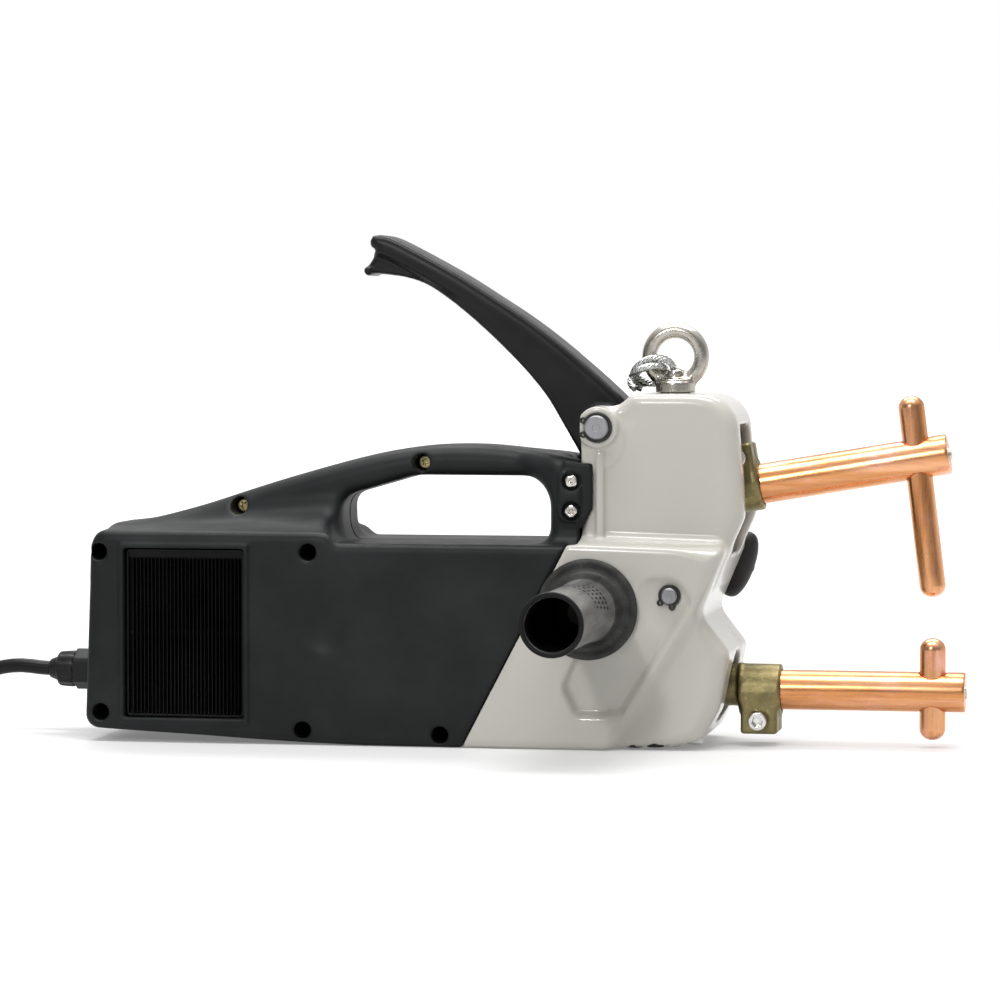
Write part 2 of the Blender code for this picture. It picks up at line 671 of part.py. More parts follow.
def rocker():
    frame = arm_frame(UPPER_ARM_POINT, UPPER_ARM_TILT)
    web = rounded([(84, 70, 4), (101, 70, 4), (104, 100, 6), (113, 108, 5), (119, 117, 2), (119, 141, 3),
                   (108, 147, 4), (84, 147, 6)])
    body = solid("upper_arm_holder", "brass", prism(web, -10.5, 10.5))
    tail = box((66, -6, 96), (88, 6, SPRING_LOW_Z - GAP))
    combine(body, "UNION", cross_rod(ROCKER_PIVOT, -35.5, 35.5, 10.5), tail)
    shell, ears, bore, split, screw = clamp_shapes(-16, 1, 1)
    combine(body, "UNION", moved(shell, frame))
    combine(body, "UNION", moved(ears, frame))
    combine(body, "DIFFERENCE", moved(bore, frame))
    combine(body, "DIFFERENCE", moved(split, frame))
    combine(body, "DIFFERENCE", moved(screw, frame))
    clevis = rounded([(70, 127, 0), (101, 127, 3), (101, 160, 0), (70, 160, 0)])
    combine(body, "DIFFERENCE", prism(clevis, -3.6, 3.6))
    combine(body, "DIFFERENCE", cross_rod(ROCKER_PIVOT, -50, 50, 6.0, 20),
            cross_rod(LINK_TOP, -30, 30, LINK_PIN_R + GAP, 20))
    x, z = ROCKER_PIVOT
    sleeve = tube((x, -35.5, z), (x, 35.5, z), 6.0 - GAP, ROCKER_PIN_R + GAP, 20)
    bush = solid("rocker_bush", "insulator", sleeve)
    link_pin = solid("link_pin", "steel", cross_rod(LINK_TOP, -10.3, 10.3, LINK_PIN_R, 20))
    screw = clamp_screw("upper_clamp_screw", -7.5, 14.6, frame)
    hang(pivot("rocker_axis", x, 0, z), body, bush, link_pin, screw)


def arm(name, frame, span, electrode_at, electrode_tilt):
    """A round copper arm with a cross hole for its electrode and a bore for the set screw."""
    start, end = span
    length = end - start
    profile = [(0, ARM_R - 0.6), (0.6, ARM_R), (length - 0.8, ARM_R), (length, ARM_R - 0.8)]
    body = solid(name, "copper", moved(turned(profile, (start, 0, 0), (1, 0, 0)), frame))
    lean = Matrix.Translation((electrode_at, 0, 0)) @ Matrix.Rotation(math.radians(electrode_tilt), 4, "Y")
    hole = moved(rod((0, 0, -30), (0, 0, 30), ELECTRODE_R + ARM_CLEAR, 20), frame @ lean)
    combine(body, "DIFFERENCE", hole)
    bore = rod((electrode_at + 2, 0, 0), (end + 5, 0, 0), SET_SCREW_R + GAP, 12)
    combine(body, "DIFFERENCE", moved(bore, frame))
    profile = [(0, 1.6), (1.5, SET_SCREW_R), (10, SET_SCREW_R)]
    shape = turned(profile, (electrode_at + 7.2, 0, 0), (1, 0, 0), 12)
    screw = solid(f"{name}_set_screw", "steel", moved(shape, frame))
    return body, screw


def electrode(name, foot, direction, length):
    """A rod with round ends from its foot along a direction."""
    r = ELECTRODE_R
    angles = [math.pi / 2 * i / 4 for i in range(5)]
    low = [(r - r * math.cos(a), r * math.sin(a)) for a in angles]
    high = [(length - a, b) for a, b in reversed(low)]
    return solid(name, "copper", turned(low + high, foot, direction, 20))


def upper_arm_set():
    frame = arm_frame(UPPER_ARM_POINT, UPPER_ARM_TILT)
    lean = math.radians(UPPER_ELECTRODE_TILT)
    along = Vector((-math.sin(lean), 0, math.cos(lean)))
    foot = Vector((UPPER_ELECTRODE_TIP[0], 0, UPPER_ELECTRODE_TIP[1]))
    turn = math.radians(UPPER_ARM_TILT)
    arm_dir = Vector((math.cos(turn), 0, math.sin(turn)))
    arm_up = Vector((-arm_dir.z, 0, arm_dir.x))
    start = Vector((UPPER_ARM_POINT[0], 0, UPPER_ARM_POINT[1]))
    climb = (start - foot).dot(arm_up) / along.dot(arm_up)
    electrode_at = (foot + along * climb - start).dot(arm_dir)
    tilt = UPPER_ARM_TILT - UPPER_ELECTRODE_TILT
    body, screw = arm("upper_arm", frame, UPPER_ARM_SPAN, electrode_at, tilt)
    tip = electrode("upper_electrode", foot, along, UPPER_ELECTRODE_LENGTH)
    start_x, start_z = UPPER_ARM_POINT
    hang(pivot("upper_arm_slide_axis", start_x, 0, start_z), body, screw)
    hang(pivot("upper_electrode_slide_axis", foot.x, 0, foot.z), tip)


def lower_arm_set():
    frame = arm_frame((131.9, LOWER_ARM_Z), 0)
    body, screw = arm("lower_arm", frame, LOWER_ARM_SPAN, LOWER_ELECTRODE_X - 131.9, 0)
    low, high = LOWER_ELECTRODE_SPAN
    tip = electrode("lower_electrode", (LOWER_ELECTRODE_X, 0, low), (0, 0, 1), high - low)
    hang(pivot("lower_arm_slide_axis", 131.9, 0, LOWER_ARM_Z), body, screw)
    hang(pivot("lower_electrode_slide_axis", LOWER_ELECTRODE_X, 0, low), tip)


def lower_holder():
    frame = arm_frame((131.9, LOWER_ARM_Z), 0)
    holder = solid("lower_arm_holder", "brass", rod((66, 0, SHANK_Z), (123.5, 0, SHANK_Z), SHANK_R))
    shell, ears, bore, split, screw = clamp_shapes(-9.4, 11.3, -1)
    combine(holder, "UNION", moved(shell, frame))
    combine(holder, "UNION", moved(ears, frame))
    combine(holder, "DIFFERENCE", moved(bore, frame))
    combine(holder, "DIFFERENCE", moved(split, frame))
    combine(holder, "DIFFERENCE", moved(screw, frame))
    clamp_screw("lower_clamp_screw", 0.95, -14.6, frame)
    collar = tube((104.5, 0, SHANK_Z), (112.6, 0, SHANK_Z), COLLAR_R, SHANK_R + GAP)
    solid("lower_insulating_collar", "insulator", collar)


# Mechanism inside the head


def return_spring():
    """A compression spring between the rocker's tail below and the head's cross bar above."""
    turns, sides, radius = 5, 8, 5.0
    steps = turns * sides
    points = []
    for i in range(steps + 1):
        angle = 2 * math.pi * i / sides
        z = SPRING_LOW_Z + 1 + (SPRING_TOP_Z - SPRING_LOW_Z - 2) * i / steps
        points.append((72 + radius * math.cos(angle), radius * math.sin(angle), z))
    wire_object("return_spring", points, 0.9, "steel", 1)


def wire_object(name, points, radius, finish, resolution):
    curve = bpy.data.curves.new(name, "CURVE")
    curve.dimensions = "3D"
    curve.bevel_depth = radius * MM
    curve.bevel_resolution = resolution
    curve.use_fill_caps = True
    spline = curve.splines.new("POLY")
    spline.points.add(len(points) - 1)
    for point, place in zip(spline.points, points):
        point.co = (*[v * MM for v in place], 1)
    curve.materials.append(material(finish))
    made = bpy.data.objects.new(name, curve)
    bpy.context.scene.collection.objects.link(made)


def trigger_switch():
    switch = solid("trigger_switch", "gloss_black", box((52, -18.5, 118), (66.8, -9, 135.9)))
    combine(switch, "DIFFERENCE", box((58.2, -15.6, 131.2), (61.8, -11.9, 140)))
    plunger = solid("switch_plunger", "insulator", box((58.5, -15.3, 133.6), (61.5, -12.2, 138.5)))
    hang(pivot("plunger_axis", 60, -13.75, 133.6), plunger)


def power_parts():
    core = solid("transformer_core", "laminations", box((-98, -30, 15), (-14, 30, 88.5)))
    combine(core, "DIFFERENCE", *[box((-84, -40, z), (-28, 40, z + 14)) for z in (25, 64.5)])
    coil = solid("primary_coil", "winding", box((-83.4, -42, 26), (-42, 42, 77.5)))
    combine(coil, "DIFFERENCE", box((-90, -30.4, 38.6), (-30, 30.4, 64.8)))
    turn = solid("secondary_turn", "copper", box((-40, -38, 26), (-29, 38, 77.5)))
    combine(turn, "DIFFERENCE", box((-60, -30.4, 38.6), (-20, 30.4, 64.8)))
    solid("lower_busbar", "copper", box((-13.4, -8, 24), (65.6, 8, 34)))
    strip = smooth([(20, 60), (50, 62), (68, 74), (76, 98), (88, 126)])
    back = [(x - 2.2, z + 1.4) for x, z in strip]
    solid("flexible_shunt", "copper", prism(strip + back[::-1], 12.5, 25))
    solid("timer_board", "board", box((-186, 24, 24), (-112, 25.6, 90)))
    solid("thyristor_block", "laminations", box((-150, -20, 30), (-110, 4, 70)))


# Outside fittings


def eyebolt():
    z = HEAD_TOP_Z + 18.2
    base = HEAD_TOP_Z + GAP
    profile = [(-16, 4.0), (0, 4.0), (0, 10), (5, 10), (6.5, 8.8), (9.5, 4.6), (10.4, 4.2)]
    bolt = solid("eyebolt", "steel", turned(profile, (EYE_X, 0, base), (0, 0, 1), 20))
    bar = [(EYE_WIRE_R * math.sin(a), EYE_RING_R + EYE_WIRE_R * math.cos(a))
           for a in [2 * math.pi * i / 10 for i in range(10)]]
    ring = solid("eyebolt_ring", None, turned(bar, (EYE_X, 0, z), (0, 1, 0), 28, ring=True))
    combine_with(bolt, "UNION", ring)


def tether_route():
    """Two turns of wire rope round the eyebolt's rear limb, both ends down on the head."""
    points = [(66.0, 6.5, 177.6), (64.9, 4.8, 181.4)]
    for i in range(2 * 12 + 1):
        progress = i / 12
        angle = math.pi * (1 + 2 * progress)
        z = 186.2 + 1.5 * math.cos(angle) + 3.9 * progress
        points.append((76.8 + 9.4 * math.cos(angle), 8.6 * math.sin(angle), z))
    return points + [(65.9, -4.6, 191.6), (63.8, -7.6, 187.4), (64.3, -8.6, 182.0), (66.0, -8.2, 177.6)]


def side_grip():
    x, z = GRIP_AXIS
    profile = [(0.3, 25), (2.6, 25), (3.4, 22), (7, 18.2), (14, 16.0), (26, 15.0), (105, 15.0), (106.3, 14.2),
               (106.3, 12.9), (18, 12.9), (18, 4.4), (0.3, 4.4)]
    solid("side_handle", "rubber", turned(profile, (x, -LOWER_HALF, z), (0, -1, 0), 28, ring=True))
    stud = turned([(0, 4.0), (26.8, 4.0), (26.8, 6.3), (31, 6.3)], (x, -40, z), (0, -1, 0), 12)
    solid("side_handle_stud", "steel", stud)


def shunt_boot():
    """A soft egg-shaped cap over the far terminal."""
    angles = [math.pi * i / 8 for i in range(1, 8)]
    profile = [(17.5 - 17.5 * math.cos(a), 8.2 * math.sin(a) ** 0.8) for a in angles]
    shape = turned([(0, 0)] + profile + [(35, 0)], (109.3, 50.9, 70.5), (0.36, 0, 1), 16)
    solid("shunt_boot", "rubber", shape)


def cable_gland():
    origin = (-212.3, 0, GLAND_Z)
    gland = solid("cable_gland", "gloss_black", prism(disc((0, GLAND_Z), 10.4, 6), -222, -212.3, "X"))
    profile = [(9.6, 8.0), (11, 9.3), (19, 9.3), (22, 7.6), (23.7, 5.4)]
    combine(gland, "UNION", turned(profile, origin, (-1, 0, 0), 20))
    combine(gland, "UNION", rod((-200, 0, GLAND_Z), (-213, 0, GLAND_Z), 4.9, 20))
    combine(gland, "DIFFERENCE", rod((-190, 0, GLAND_Z), (-222, 0, GLAND_Z), 3.2, 12))


def cord_height(x):
    """The lead's height along X: level out of the gland, then an even fall to the floor."""
    hump_x, hump_z = CORD_HUMP
    if x > hump_x:
        rise = 0.5 * (1 - math.cos(math.pi * (GLAND_END_X - x) / (GLAND_END_X - hump_x)))
        return GLAND_Z + (hump_z - GLAND_Z) * rise
    if x < CORD_FLOOR_X:
        return CORD_FLOOR_Z
    fall = (hump_x - x) / (hump_x - CORD_FLOOR_X)
    return CORD_FLOOR_Z + (hump_z - CORD_FLOOR_Z) * 0.5 * (1 + math.cos(math.pi * fall))


def supply_lead():
    start, end = GLAND_END_X - GAP, CORD_END_X
    stations = [start + (end - start) * i / 14 for i in range(15)]
    wire_object("mains_cord", [(x, 0, cord_height(x)) for x in stations], CORD_R, "gloss_black", 2)
    low, high = COIL_LOW_Z, COIL_HIGH_Z
    inner, outer = COIL_INNER_R, COIL_OUTER_R
    profile = rounded([(low, inner, 4), (low, outer, 4), (high, outer, 4), (high, inner, 4)], 2)
    solid("cord_coil", "gloss_black", turned(profile, (*COIL_CENTRE, 0), (0, 0, 1), 36, ring=True))
    cx, cy = COIL_CENTRE
    band = box((cx + inner - 2, cy - 4, 0.1), (cx + outer + 1.5, cy + 4, high + 1.3))
    tie = solid("cord_tie", "gloss_black", band)
    clear = box((cx + inner - 0.8, cy - 9, low - 0.4), (cx + outer + 0.4, cy + 9, high + 0.4))
    combine(tie, "DIFFERENCE", clear)
    plug_x, plug_y, plug_z = cx - PLUG_OFFSET, cy + 30.5, 18.2
    shell = [(0, 4.6), (24, 8.0), (27, 15.5), (31, 17.8), (62, 18.0), (66, 16.5)]
    plug = solid("plug", "gloss_black", turned(shell, (plug_x, plug_y, plug_z), (0, 1, 0)))
    prongs = [rod((plug_x + dx, plug_y + 60, plug_z), (plug_x + dx, plug_y + 84, plug_z), 2.4, 12)
              for dx in (-9.5, 9.5)]
    combine(plug, "UNION", *prongs)


def main():
    clear_scene()
    casing_half("casing_near", -1)
    casing_half("casing_far", 1)
    vent_grille("vent_grille_near", -1)
    vent_grille("vent_grille_far", 1)
    casing_screws()
    head_casting()
    bottom_screws()
    lever()
    pins()
    toggle_link()
    rocker()
    upper_arm_set()
    lower_holder()
    lower_arm_set()
    return_spring()
    trigger_switch()
    power_parts()
    eyebolt()
    wire_object("wire_rope_tether", tether_route(), 1.7, "steel", 2)
    side_grip()
    shunt_boot()
    cable_gland()
    supply_lead()


main()
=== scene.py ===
import math

import bmesh
import bpy
import numpy as np
from mathutils import Matrix, Vector


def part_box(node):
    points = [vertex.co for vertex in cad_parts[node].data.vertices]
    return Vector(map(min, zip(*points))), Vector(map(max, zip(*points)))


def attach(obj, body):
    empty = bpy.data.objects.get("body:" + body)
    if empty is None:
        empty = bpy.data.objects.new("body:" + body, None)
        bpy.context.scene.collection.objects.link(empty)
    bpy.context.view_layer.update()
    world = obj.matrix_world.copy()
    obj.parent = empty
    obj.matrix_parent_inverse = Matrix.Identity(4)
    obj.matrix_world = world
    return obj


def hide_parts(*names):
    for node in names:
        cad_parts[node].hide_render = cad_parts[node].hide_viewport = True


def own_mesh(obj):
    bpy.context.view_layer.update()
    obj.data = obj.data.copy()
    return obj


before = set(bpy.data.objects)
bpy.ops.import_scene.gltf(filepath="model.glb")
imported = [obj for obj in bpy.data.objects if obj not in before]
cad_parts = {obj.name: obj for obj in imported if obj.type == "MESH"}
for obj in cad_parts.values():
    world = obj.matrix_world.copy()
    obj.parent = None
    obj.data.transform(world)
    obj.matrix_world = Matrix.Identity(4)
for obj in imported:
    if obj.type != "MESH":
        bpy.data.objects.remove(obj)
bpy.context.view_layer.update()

# All lengths below are millimetres, in the CAD model's frame: +X towards the arms, Z = 0 the floor.
MM = 0.001
GAP = 0.3


def middle(node):
    """The centre of a CAD node's box, in mm."""
    low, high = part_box(node)
    return (low + high) / 2 / MM


def box(node):
    """The low and high corners of a CAD node's box, in mm."""
    return [Vector(corner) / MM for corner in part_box(node)]


# Places and sizes that the CAD nodes give.
LEVER_AXIS = middle("lever_pin")
ROCKER_AXIS = middle("rocker_pin")
GRIP_AXIS = middle("side_handle_stud")
EYE_X = middle("eyebolt").x
EYE_TOP = box("eyebolt")[1].z
GLAND_Z = middle("cable_gland").z
VENT_X0, _, VENT_Z0 = box("vent_grille_near")[0]
VENT_X1, _, VENT_Z1 = box("vent_grille_near")[1]
CASE_HALF = -box("casing_near")[0].y
HEAD_TOP = box("head_casting")[1].z

ARM_TILT = math.radians(9.44)
ARM_POINT = Vector((131.9, 0, 130.0))
LOWER_ARM_POINT = Vector((131.9, 0, 27.4))
ELECTRODE_LEAN = math.radians(7.05)
UPPER_TIP_FOOT = Vector((218.7, 0, 74.6))
LOWER_TIP_FOOT = Vector((218.2, 0, 3.5))
UPPER_INSET, LOWER_INSET = 13.0, 6.5        # how far each bar goes into its clamp
SPINE = [(-200, 104), (-184, 107), (-178, 108.6), (-156, 116.2), (-104, 132.9), (-52, 146.3), (-13, 149.4),
         (26, 145.9), (47, 142)]
CASE_SCREWS = [middle(f"casing_screw_{i}") for i in range(1, 6)]
GRIP_SCREWS = [middle(f"grip_screw_{i}") for i in range(1, 3)]
TAB_BOLTS = [middle(f"tab_bolt_{i}") for i in range(1, 3)]


# Camera: the photograph's view.

VIEW_TURN = math.radians(10.5)
VIEW_RISE = math.radians(2.5)
VIEW_DISTANCE = 2.0
VIEW_TARGET = Vector((0, 0, 0.121))
VIEW_LENS = 142.57
SENSOR = 36


def add(name, data):
    """A new object in the scene."""
    made = bpy.data.objects.new(name, data)
    bpy.context.scene.collection.objects.link(made)
    return made


def camera():
    level = math.cos(VIEW_RISE)
    back = Vector((math.sin(VIEW_TURN) * level, -math.cos(VIEW_TURN) * level, math.sin(VIEW_RISE)))
    data = bpy.data.cameras.new("camera")
    data.sensor_width = SENSOR
    data.lens = VIEW_LENS
    eye = add("camera", data)
    eye.location = VIEW_TARGET + back * VIEW_DISTANCE
    eye.rotation_mode = "QUATERNION"
    eye.rotation_quaternion = (-back).to_track_quat("-Z", "Y")
    bpy.context.scene.camera = eye


# Materials


def add_node(tree, kind, **values):
    """A shader node with its properties, or its sockets by name with _ for a space, set to these values."""
    made = tree.nodes.new(kind)
    for key, value in values.items():
        if hasattr(made, key):
            setattr(made, key, value)
        else:
            made.inputs[key.replace("_", " ")].default_value = value
    return made


class Shader:
    """A Principled material, whose colour, roughness and bump come from node textures."""

    def __init__(self, name, colour, roughness, metallic=0.0, coat=0.0, specular=0.5):
        self.material = bpy.data.materials.new(name)
        self.material.use_nodes = True
        self.tree = self.material.node_tree
        self.main = self.tree.nodes["Principled BSDF"]
        values = {"Base Color": (*colour, 1), "Roughness": roughness, "Metallic": metallic,
                  "Coat Weight": coat, "Coat Roughness": 0.08, "Specular IOR Level": specular}
        for socket, value in values.items():
            self.main.inputs[socket].default_value = value
        self.colour = colour
        self.height = None

    def node(self, kind, **values):
        return add_node(self.tree, kind, **values)

    def link(self, start, end):
        self.tree.links.new(start, end)

    def noise(self, size, detail=3.0, stretch=(1, 1, 1), turn=0.0):
        """A noise texture whose features are about size mm, longer along an axis by stretch."""
        coords = self.node("ShaderNodeTexCoord")
        scale = [1 / MM / size / s for s in stretch]
        mapping = self.node("ShaderNodeMapping", Rotation=(0, turn, 0), Scale=scale)
        texture = self.node("ShaderNodeTexNoise", Scale=1.0, Detail=detail)
        self.link(coords.outputs["Object"], mapping.inputs["Vector"])
        self.link(mapping.outputs["Vector"], texture.inputs["Vector"])
        return texture.outputs["Fac"]

    def ramp(self, factor, low, high, first, last):
        """A colour ramp between two places of a texture's 0 to 1."""
        made = self.node("ShaderNodeValToRGB")
        one, two = made.color_ramp.elements
        one.position, two.position = low, high
        one.color, two.color = (*first, 1), (*last, 1)
        self.link(factor, made.inputs["Fac"])
        return made.outputs["Color"]

    def tint(self, factor, low, high, second, amount=1.0):
        """The base colour turns to a second colour where the texture is high."""
        mixed = [a + (b - a) * amount for a, b in zip(self.colour, second)]
        socket = self.main.inputs["Base Color"]
        if socket.links:
            blend = self.node("ShaderNodeMix", data_type="RGBA", blend_type="MULTIPLY")
            blend.inputs[0].default_value = 1.0
            ratio = [b / max(a, 1e-4) for a, b in zip(self.colour, mixed)]
            grey = self.ramp(factor, low, high, (1, 1, 1), ratio)
            self.link(socket.links[0].from_socket, blend.inputs[6])
            self.link(grey, blend.inputs[7])
            self.link(blend.outputs[2], socket)
        else:
            self.link(self.ramp(factor, low, high, self.colour, mixed), socket)

    def rough(self, factor, low, high):
        spread = self.node("ShaderNodeMapRange", To_Min=low, To_Max=high)
        self.link(factor, spread.inputs["Value"])
        self.link(spread.outputs["Result"], self.main.inputs["Roughness"])

    def bump(self, factor, height):
        """Raises the surface by height mm where the texture is high."""
        made = self.node("ShaderNodeBump", Strength=1.0, Distance=height * MM)
        self.link(factor, made.inputs["Height"])
        if self.height:
            self.link(self.height, made.inputs["Normal"])
        self.height = made.outputs["Normal"]
        self.link(self.height, self.main.inputs["Normal"])


def moulded(name, colour, roughness, grain=0.55, height=0.03, specular=0.19):
    """Black moulded plastic with a spark-eroded grain and faint handling marks."""
    made = Shader(name, colour, roughness, specular=specular)
    made.tint(made.noise(38, 4), 0.38, 0.72, [c * 1.45 + 0.004 for c in colour])
    made.rough(made.noise(14, 4), roughness - 0.07, roughness + 0.09)
    made.bump(made.noise(grain, 2), height)
    made.bump(made.noise(9, 2), 0.02)
    return made.material


def enamel():
    """Warm light grey gloss enamel over a cast surface, with a little orange peel."""
    made = Shader("head_enamel", (0.465, 0.452, 0.412), 0.24, coat=0.35, specular=0.4)
    made.tint(made.noise(60, 3), 0.35, 0.75, (0.435, 0.420, 0.375))
    made.tint(made.noise(2.2, 2), 0.70, 0.80, (0.43, 0.41, 0.37), 0.6)
    made.rough(made.noise(25, 4), 0.19, 0.31)
    made.bump(made.noise(3.5, 2), 0.035)
    made.bump(made.noise(26, 2), 0.12)
    return made.material


def copper(name, turn, stretch):
    """Drawn copper bar, polished, with streaks along it and warmer and paler patches."""
    made = Shader(name, (0.61, 0.265, 0.10), 0.22, metallic=1.0)
    made.tint(made.noise(7, 4, stretch, turn), 0.42, 0.75, (0.92, 0.52, 0.30))
    made.tint(made.noise(1.2, 3, stretch, turn), 0.45, 0.72, (0.50, 0.21, 0.10), 0.8)
    made.tint(made.noise(16, 3), 0.55, 0.80, (0.78, 0.36, 0.26), 0.6)
    made.rough(made.noise(1.6, 4, stretch, turn), 0.16, 0.36)
    made.bump(made.noise(0.8, 3, stretch, turn), 0.02)
    return made.material


def cast_brass():
    """Sand-cast brass with an olive tarnish, darker in patches, brighter where it was handled."""
    made = Shader("cast_brass", (0.235, 0.195, 0.09), 0.42, metallic=1.0)
    made.tint(made.noise(9, 5), 0.38, 0.66, (0.15, 0.13, 0.065), 0.85)
    made.tint(made.noise(2.0, 4), 0.55, 0.78, (0.52, 0.43, 0.21), 0.5)
    made.rough(made.noise(4, 4), 0.30, 0.55)
    made.bump(made.noise(1.1, 4), 0.10)
    made.bump(made.noise(5, 3), 0.15)
    return made.material


def steel(name, colour, roughness, warm=(0.50, 0.45, 0.38), grain=1.0):
    """Machined or plated steel, with a fine grain and a faint warm film."""
    made = Shader(name, colour, roughness, metallic=1.0)
    made.tint(made.noise(7, 4), 0.42, 0.72, warm, 0.7)
    made.rough(made.noise(grain, 4), roughness - 0.08, roughness + 0.14)
    made.bump(made.noise(grain * 0.6, 4), 0.015)
    return made.material


def soft_rubber(name, colour, dust):
    """Moulded rubber, matt, with pale dust that lies in patches."""
    made = Shader(name, colour, 0.52, specular=0.3)
    made.tint(made.noise(9, 5, (1, 6, 1)), 0.30, 0.75, dust)
    made.tint(made.noise(1.2, 4, (1, 4, 1)), 0.50, 0.80, [c * 0.45 for c in dust], 0.6)
    made.rough(made.noise(6, 4, (1, 6, 1)), 0.40, 0.60)
    made.bump(made.noise(0.7, 3), 0.03)
    return made.material


def plain_texture(name, colour, second, roughness, size, metallic=0.0):
    """For pieces inside the tool: two tones of one material."""
    made = Shader(name, colour, roughness, metallic=metallic)
    made.tint(made.noise(size, 4), 0.4, 0.65, second)
    made.bump(made.noise(size / 2, 3), 0.05)
    return made.material


def laminated():
    """Stacked transformer sheets, whose edges show as fine bands along Y."""
    made = Shader("laminated_steel", (0.20, 0.20, 0.21), 0.45, metallic=0.8)
    bands = made.noise(0.8, 1, (400, 1, 400))
    made.tint(bands, 0.45, 0.55, (0.07, 0.07, 0.075))
    made.bump(bands, 0.10)
    return made.material


# Shapes as distance fields: each function gives a distance in mm, negative inside.


def rounded(corners, steps=8):
    """The outline through these (a, b, radius) corners, with an arc at each that has a radius."""
    outline = []
    for index, (a, b, *rest) in enumerate(corners):
        radius = rest[0] if rest else 0
        corner = Vector((a, b))
        before = (Vector(corners[index - 1][:2]) - corner).normalized()
        after = (Vector(corners[(index + 1) % len(corners)][:2]) - corner).normalized()
        opening = before.angle(after)
        if radius <= 0 or opening > math.radians(178):
            outline.append((a, b))
            continue
        reach = radius / math.tan(opening / 2)
        centre = corner + (before + after).normalized() * radius / math.sin(opening / 2)
        first = corner + before * reach - centre
        turn = (math.pi - opening) * (1 if before.cross(after) < 0 else -1)
        for step in range(steps + 1):
            spoke = first.copy()
            spoke.rotate(Matrix.Rotation(turn * step / steps, 2))
            outline.append(tuple(centre + spoke))
    return outline


def rectangle(a0, b0, a1, b1, radius=0, steps=8):
    """The outline of a box with equal round corners."""
    return rounded([(a0, b0, radius), (a1, b0, radius), (a1, b1, radius), (a0, b1, radius)], steps)


def smooth(points, steps=6):
    """A Catmull-Rom curve through these points."""
    ends = [points[0]] + list(points) + [points[-1]]
    curve = []
    for index in range(len(points) - 1):
        p0, p1, p2, p3 = (Vector(p) for p in ends[index:index + 4])
        for step in range(steps):
            t = step / steps
            curve.append(tuple(0.5 * (
                2 * p1 + (p2 - p0) * t + (2 * p0 - 5 * p1 + 4 * p2 - p3) * t * t
                + (3 * p1 - p0 - 3 * p2 + p3) * t ** 3
            )))
    curve.append(tuple(points[-1]))
    return curve


def ease(value):
    """0 to 1 with soft ends."""
    t = np.clip(value, 0, 1)
    return t * t * (3 - 2 * t)


def outline_field(a, b, outline):
    """Distance from points (a, b) to a closed outline."""
    best = np.inf
    inside = False
    for (a0, b0), (a1, b1) in zip(outline, outline[1:] + outline[:1]):
        run, rise = a1 - a0, b1 - b0
        part = np.clip(((a - a0) * run + (b - b0) * rise) / max(run * run + rise * rise, 1e-9), 0, 1)
        best = np.minimum(best, (a - a0 - part * run) ** 2 + (b - b0 - part * rise) ** 2)
        if rise:
            inside = inside ^ (((b0 <= b) != (b1 <= b)) & (a < a0 + (b - b0) * run / rise))
    return np.where(inside, -1, 1) * np.sqrt(best)


def slab(flat, across, edge):
    """A flat shape given thickness by across, which is 0 on its faces, with rounded edges."""
    d, w = flat + edge, across + edge
    return np.minimum(np.maximum(d, w), 0) + np.hypot(np.maximum(d, 0), np.maximum(w, 0)) - edge


def join(one, two, fillet=0.0):
    if fillet <= 0:
        return np.minimum(one, two)
    h = np.clip(0.5 + 0.5 * (two - one) / fillet, 0, 1)
    return two + (one - two) * h - fillet * h * (1 - h)


def carve(shape, tool, fillet=0.0):
    return -join(-shape, tool, fillet)


def rod(x, y, z, start, end, radius, edge=0.4):
    """A round bar between two points, with rounded rims."""
    start, end = Vector(start), Vector(end)
    length = (end - start).length
    way = (end - start) / length
    along = (x - start.x) * way.x + (y - start.y) * way.y + (z - start.z) * way.z
    square = (x - start.x) ** 2 + (y - start.y) ** 2 + (z - start.z) ** 2 - along ** 2
    return slab(np.sqrt(np.maximum(square, 0)) - radius, np.abs(along - length / 2) - length / 2, edge)


def cross_rod(x, y, z, at, start, end, radius, edge=0.4):
    """A round bar along Y through a place, between two values of Y."""
    return rod(x, y, z, (at.x, start, at.z), (at.x, end, at.z), radius, edge)


def off(x, z, axis):
    """Distance from an axis along Y."""
    return np.hypot(x - axis.x, z - axis.z)


def block(x, y, z, low, high, edge=0.4):
    """A box between two corners, with rounded edges."""
    q = [np.abs(v - (a + b) / 2) - (b - a) / 2 + edge for v, a, b in zip((x, y, z), low, high)]
    outer = np.sqrt(sum(np.maximum(v, 0) ** 2 for v in q))
    return outer + np.minimum(np.maximum(np.maximum(q[0], q[1]), q[2]), 0) - edge


# Meshes


def new_object(name, points, faces, material, flat_angle=None):
    mesh = bpy.data.meshes.new(name)
    mesh.from_pydata([tuple(p) for p in points], [], faces)
    mesh.materials.append(material)
    mesh.shade_smooth()
    if flat_angle:
        mesh.set_sharp_from_angle(angle=math.radians(flat_angle))
    return add(name, mesh)


def piece(made, body, slot, *nodes):
    """Sets a finished piece's body and hides the nodes it stands for. slot is not used."""
    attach(made, body)
    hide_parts(*nodes)
    return made


def skin(rows, closed=False):
    """The faces that join rows of point numbers, with a cap on each end unless the path is closed."""
    rows = [list(row) for row in rows]
    pairs = zip(rows, rows[1:] + (rows[:1] if closed else []))
    faces = [[one[j - 1], one[j], two[j], two[j - 1]] for one, two in pairs for j in range(len(one))]
    return faces if closed else faces + [rows[0], rows[-1][::-1]]


def sample(field, places):
    """The field between its grid points, by linear weights."""
    base = np.clip(np.floor(places).astype(int), 0, np.array(field.shape) - 2)
    part = places - base
    total = 0
    for corner in np.ndindex(2, 2, 2):
        weight = np.prod(np.where(corner, part, 1 - part), axis=1)
        total = total + weight * field[tuple((base + corner).T)]
    return total


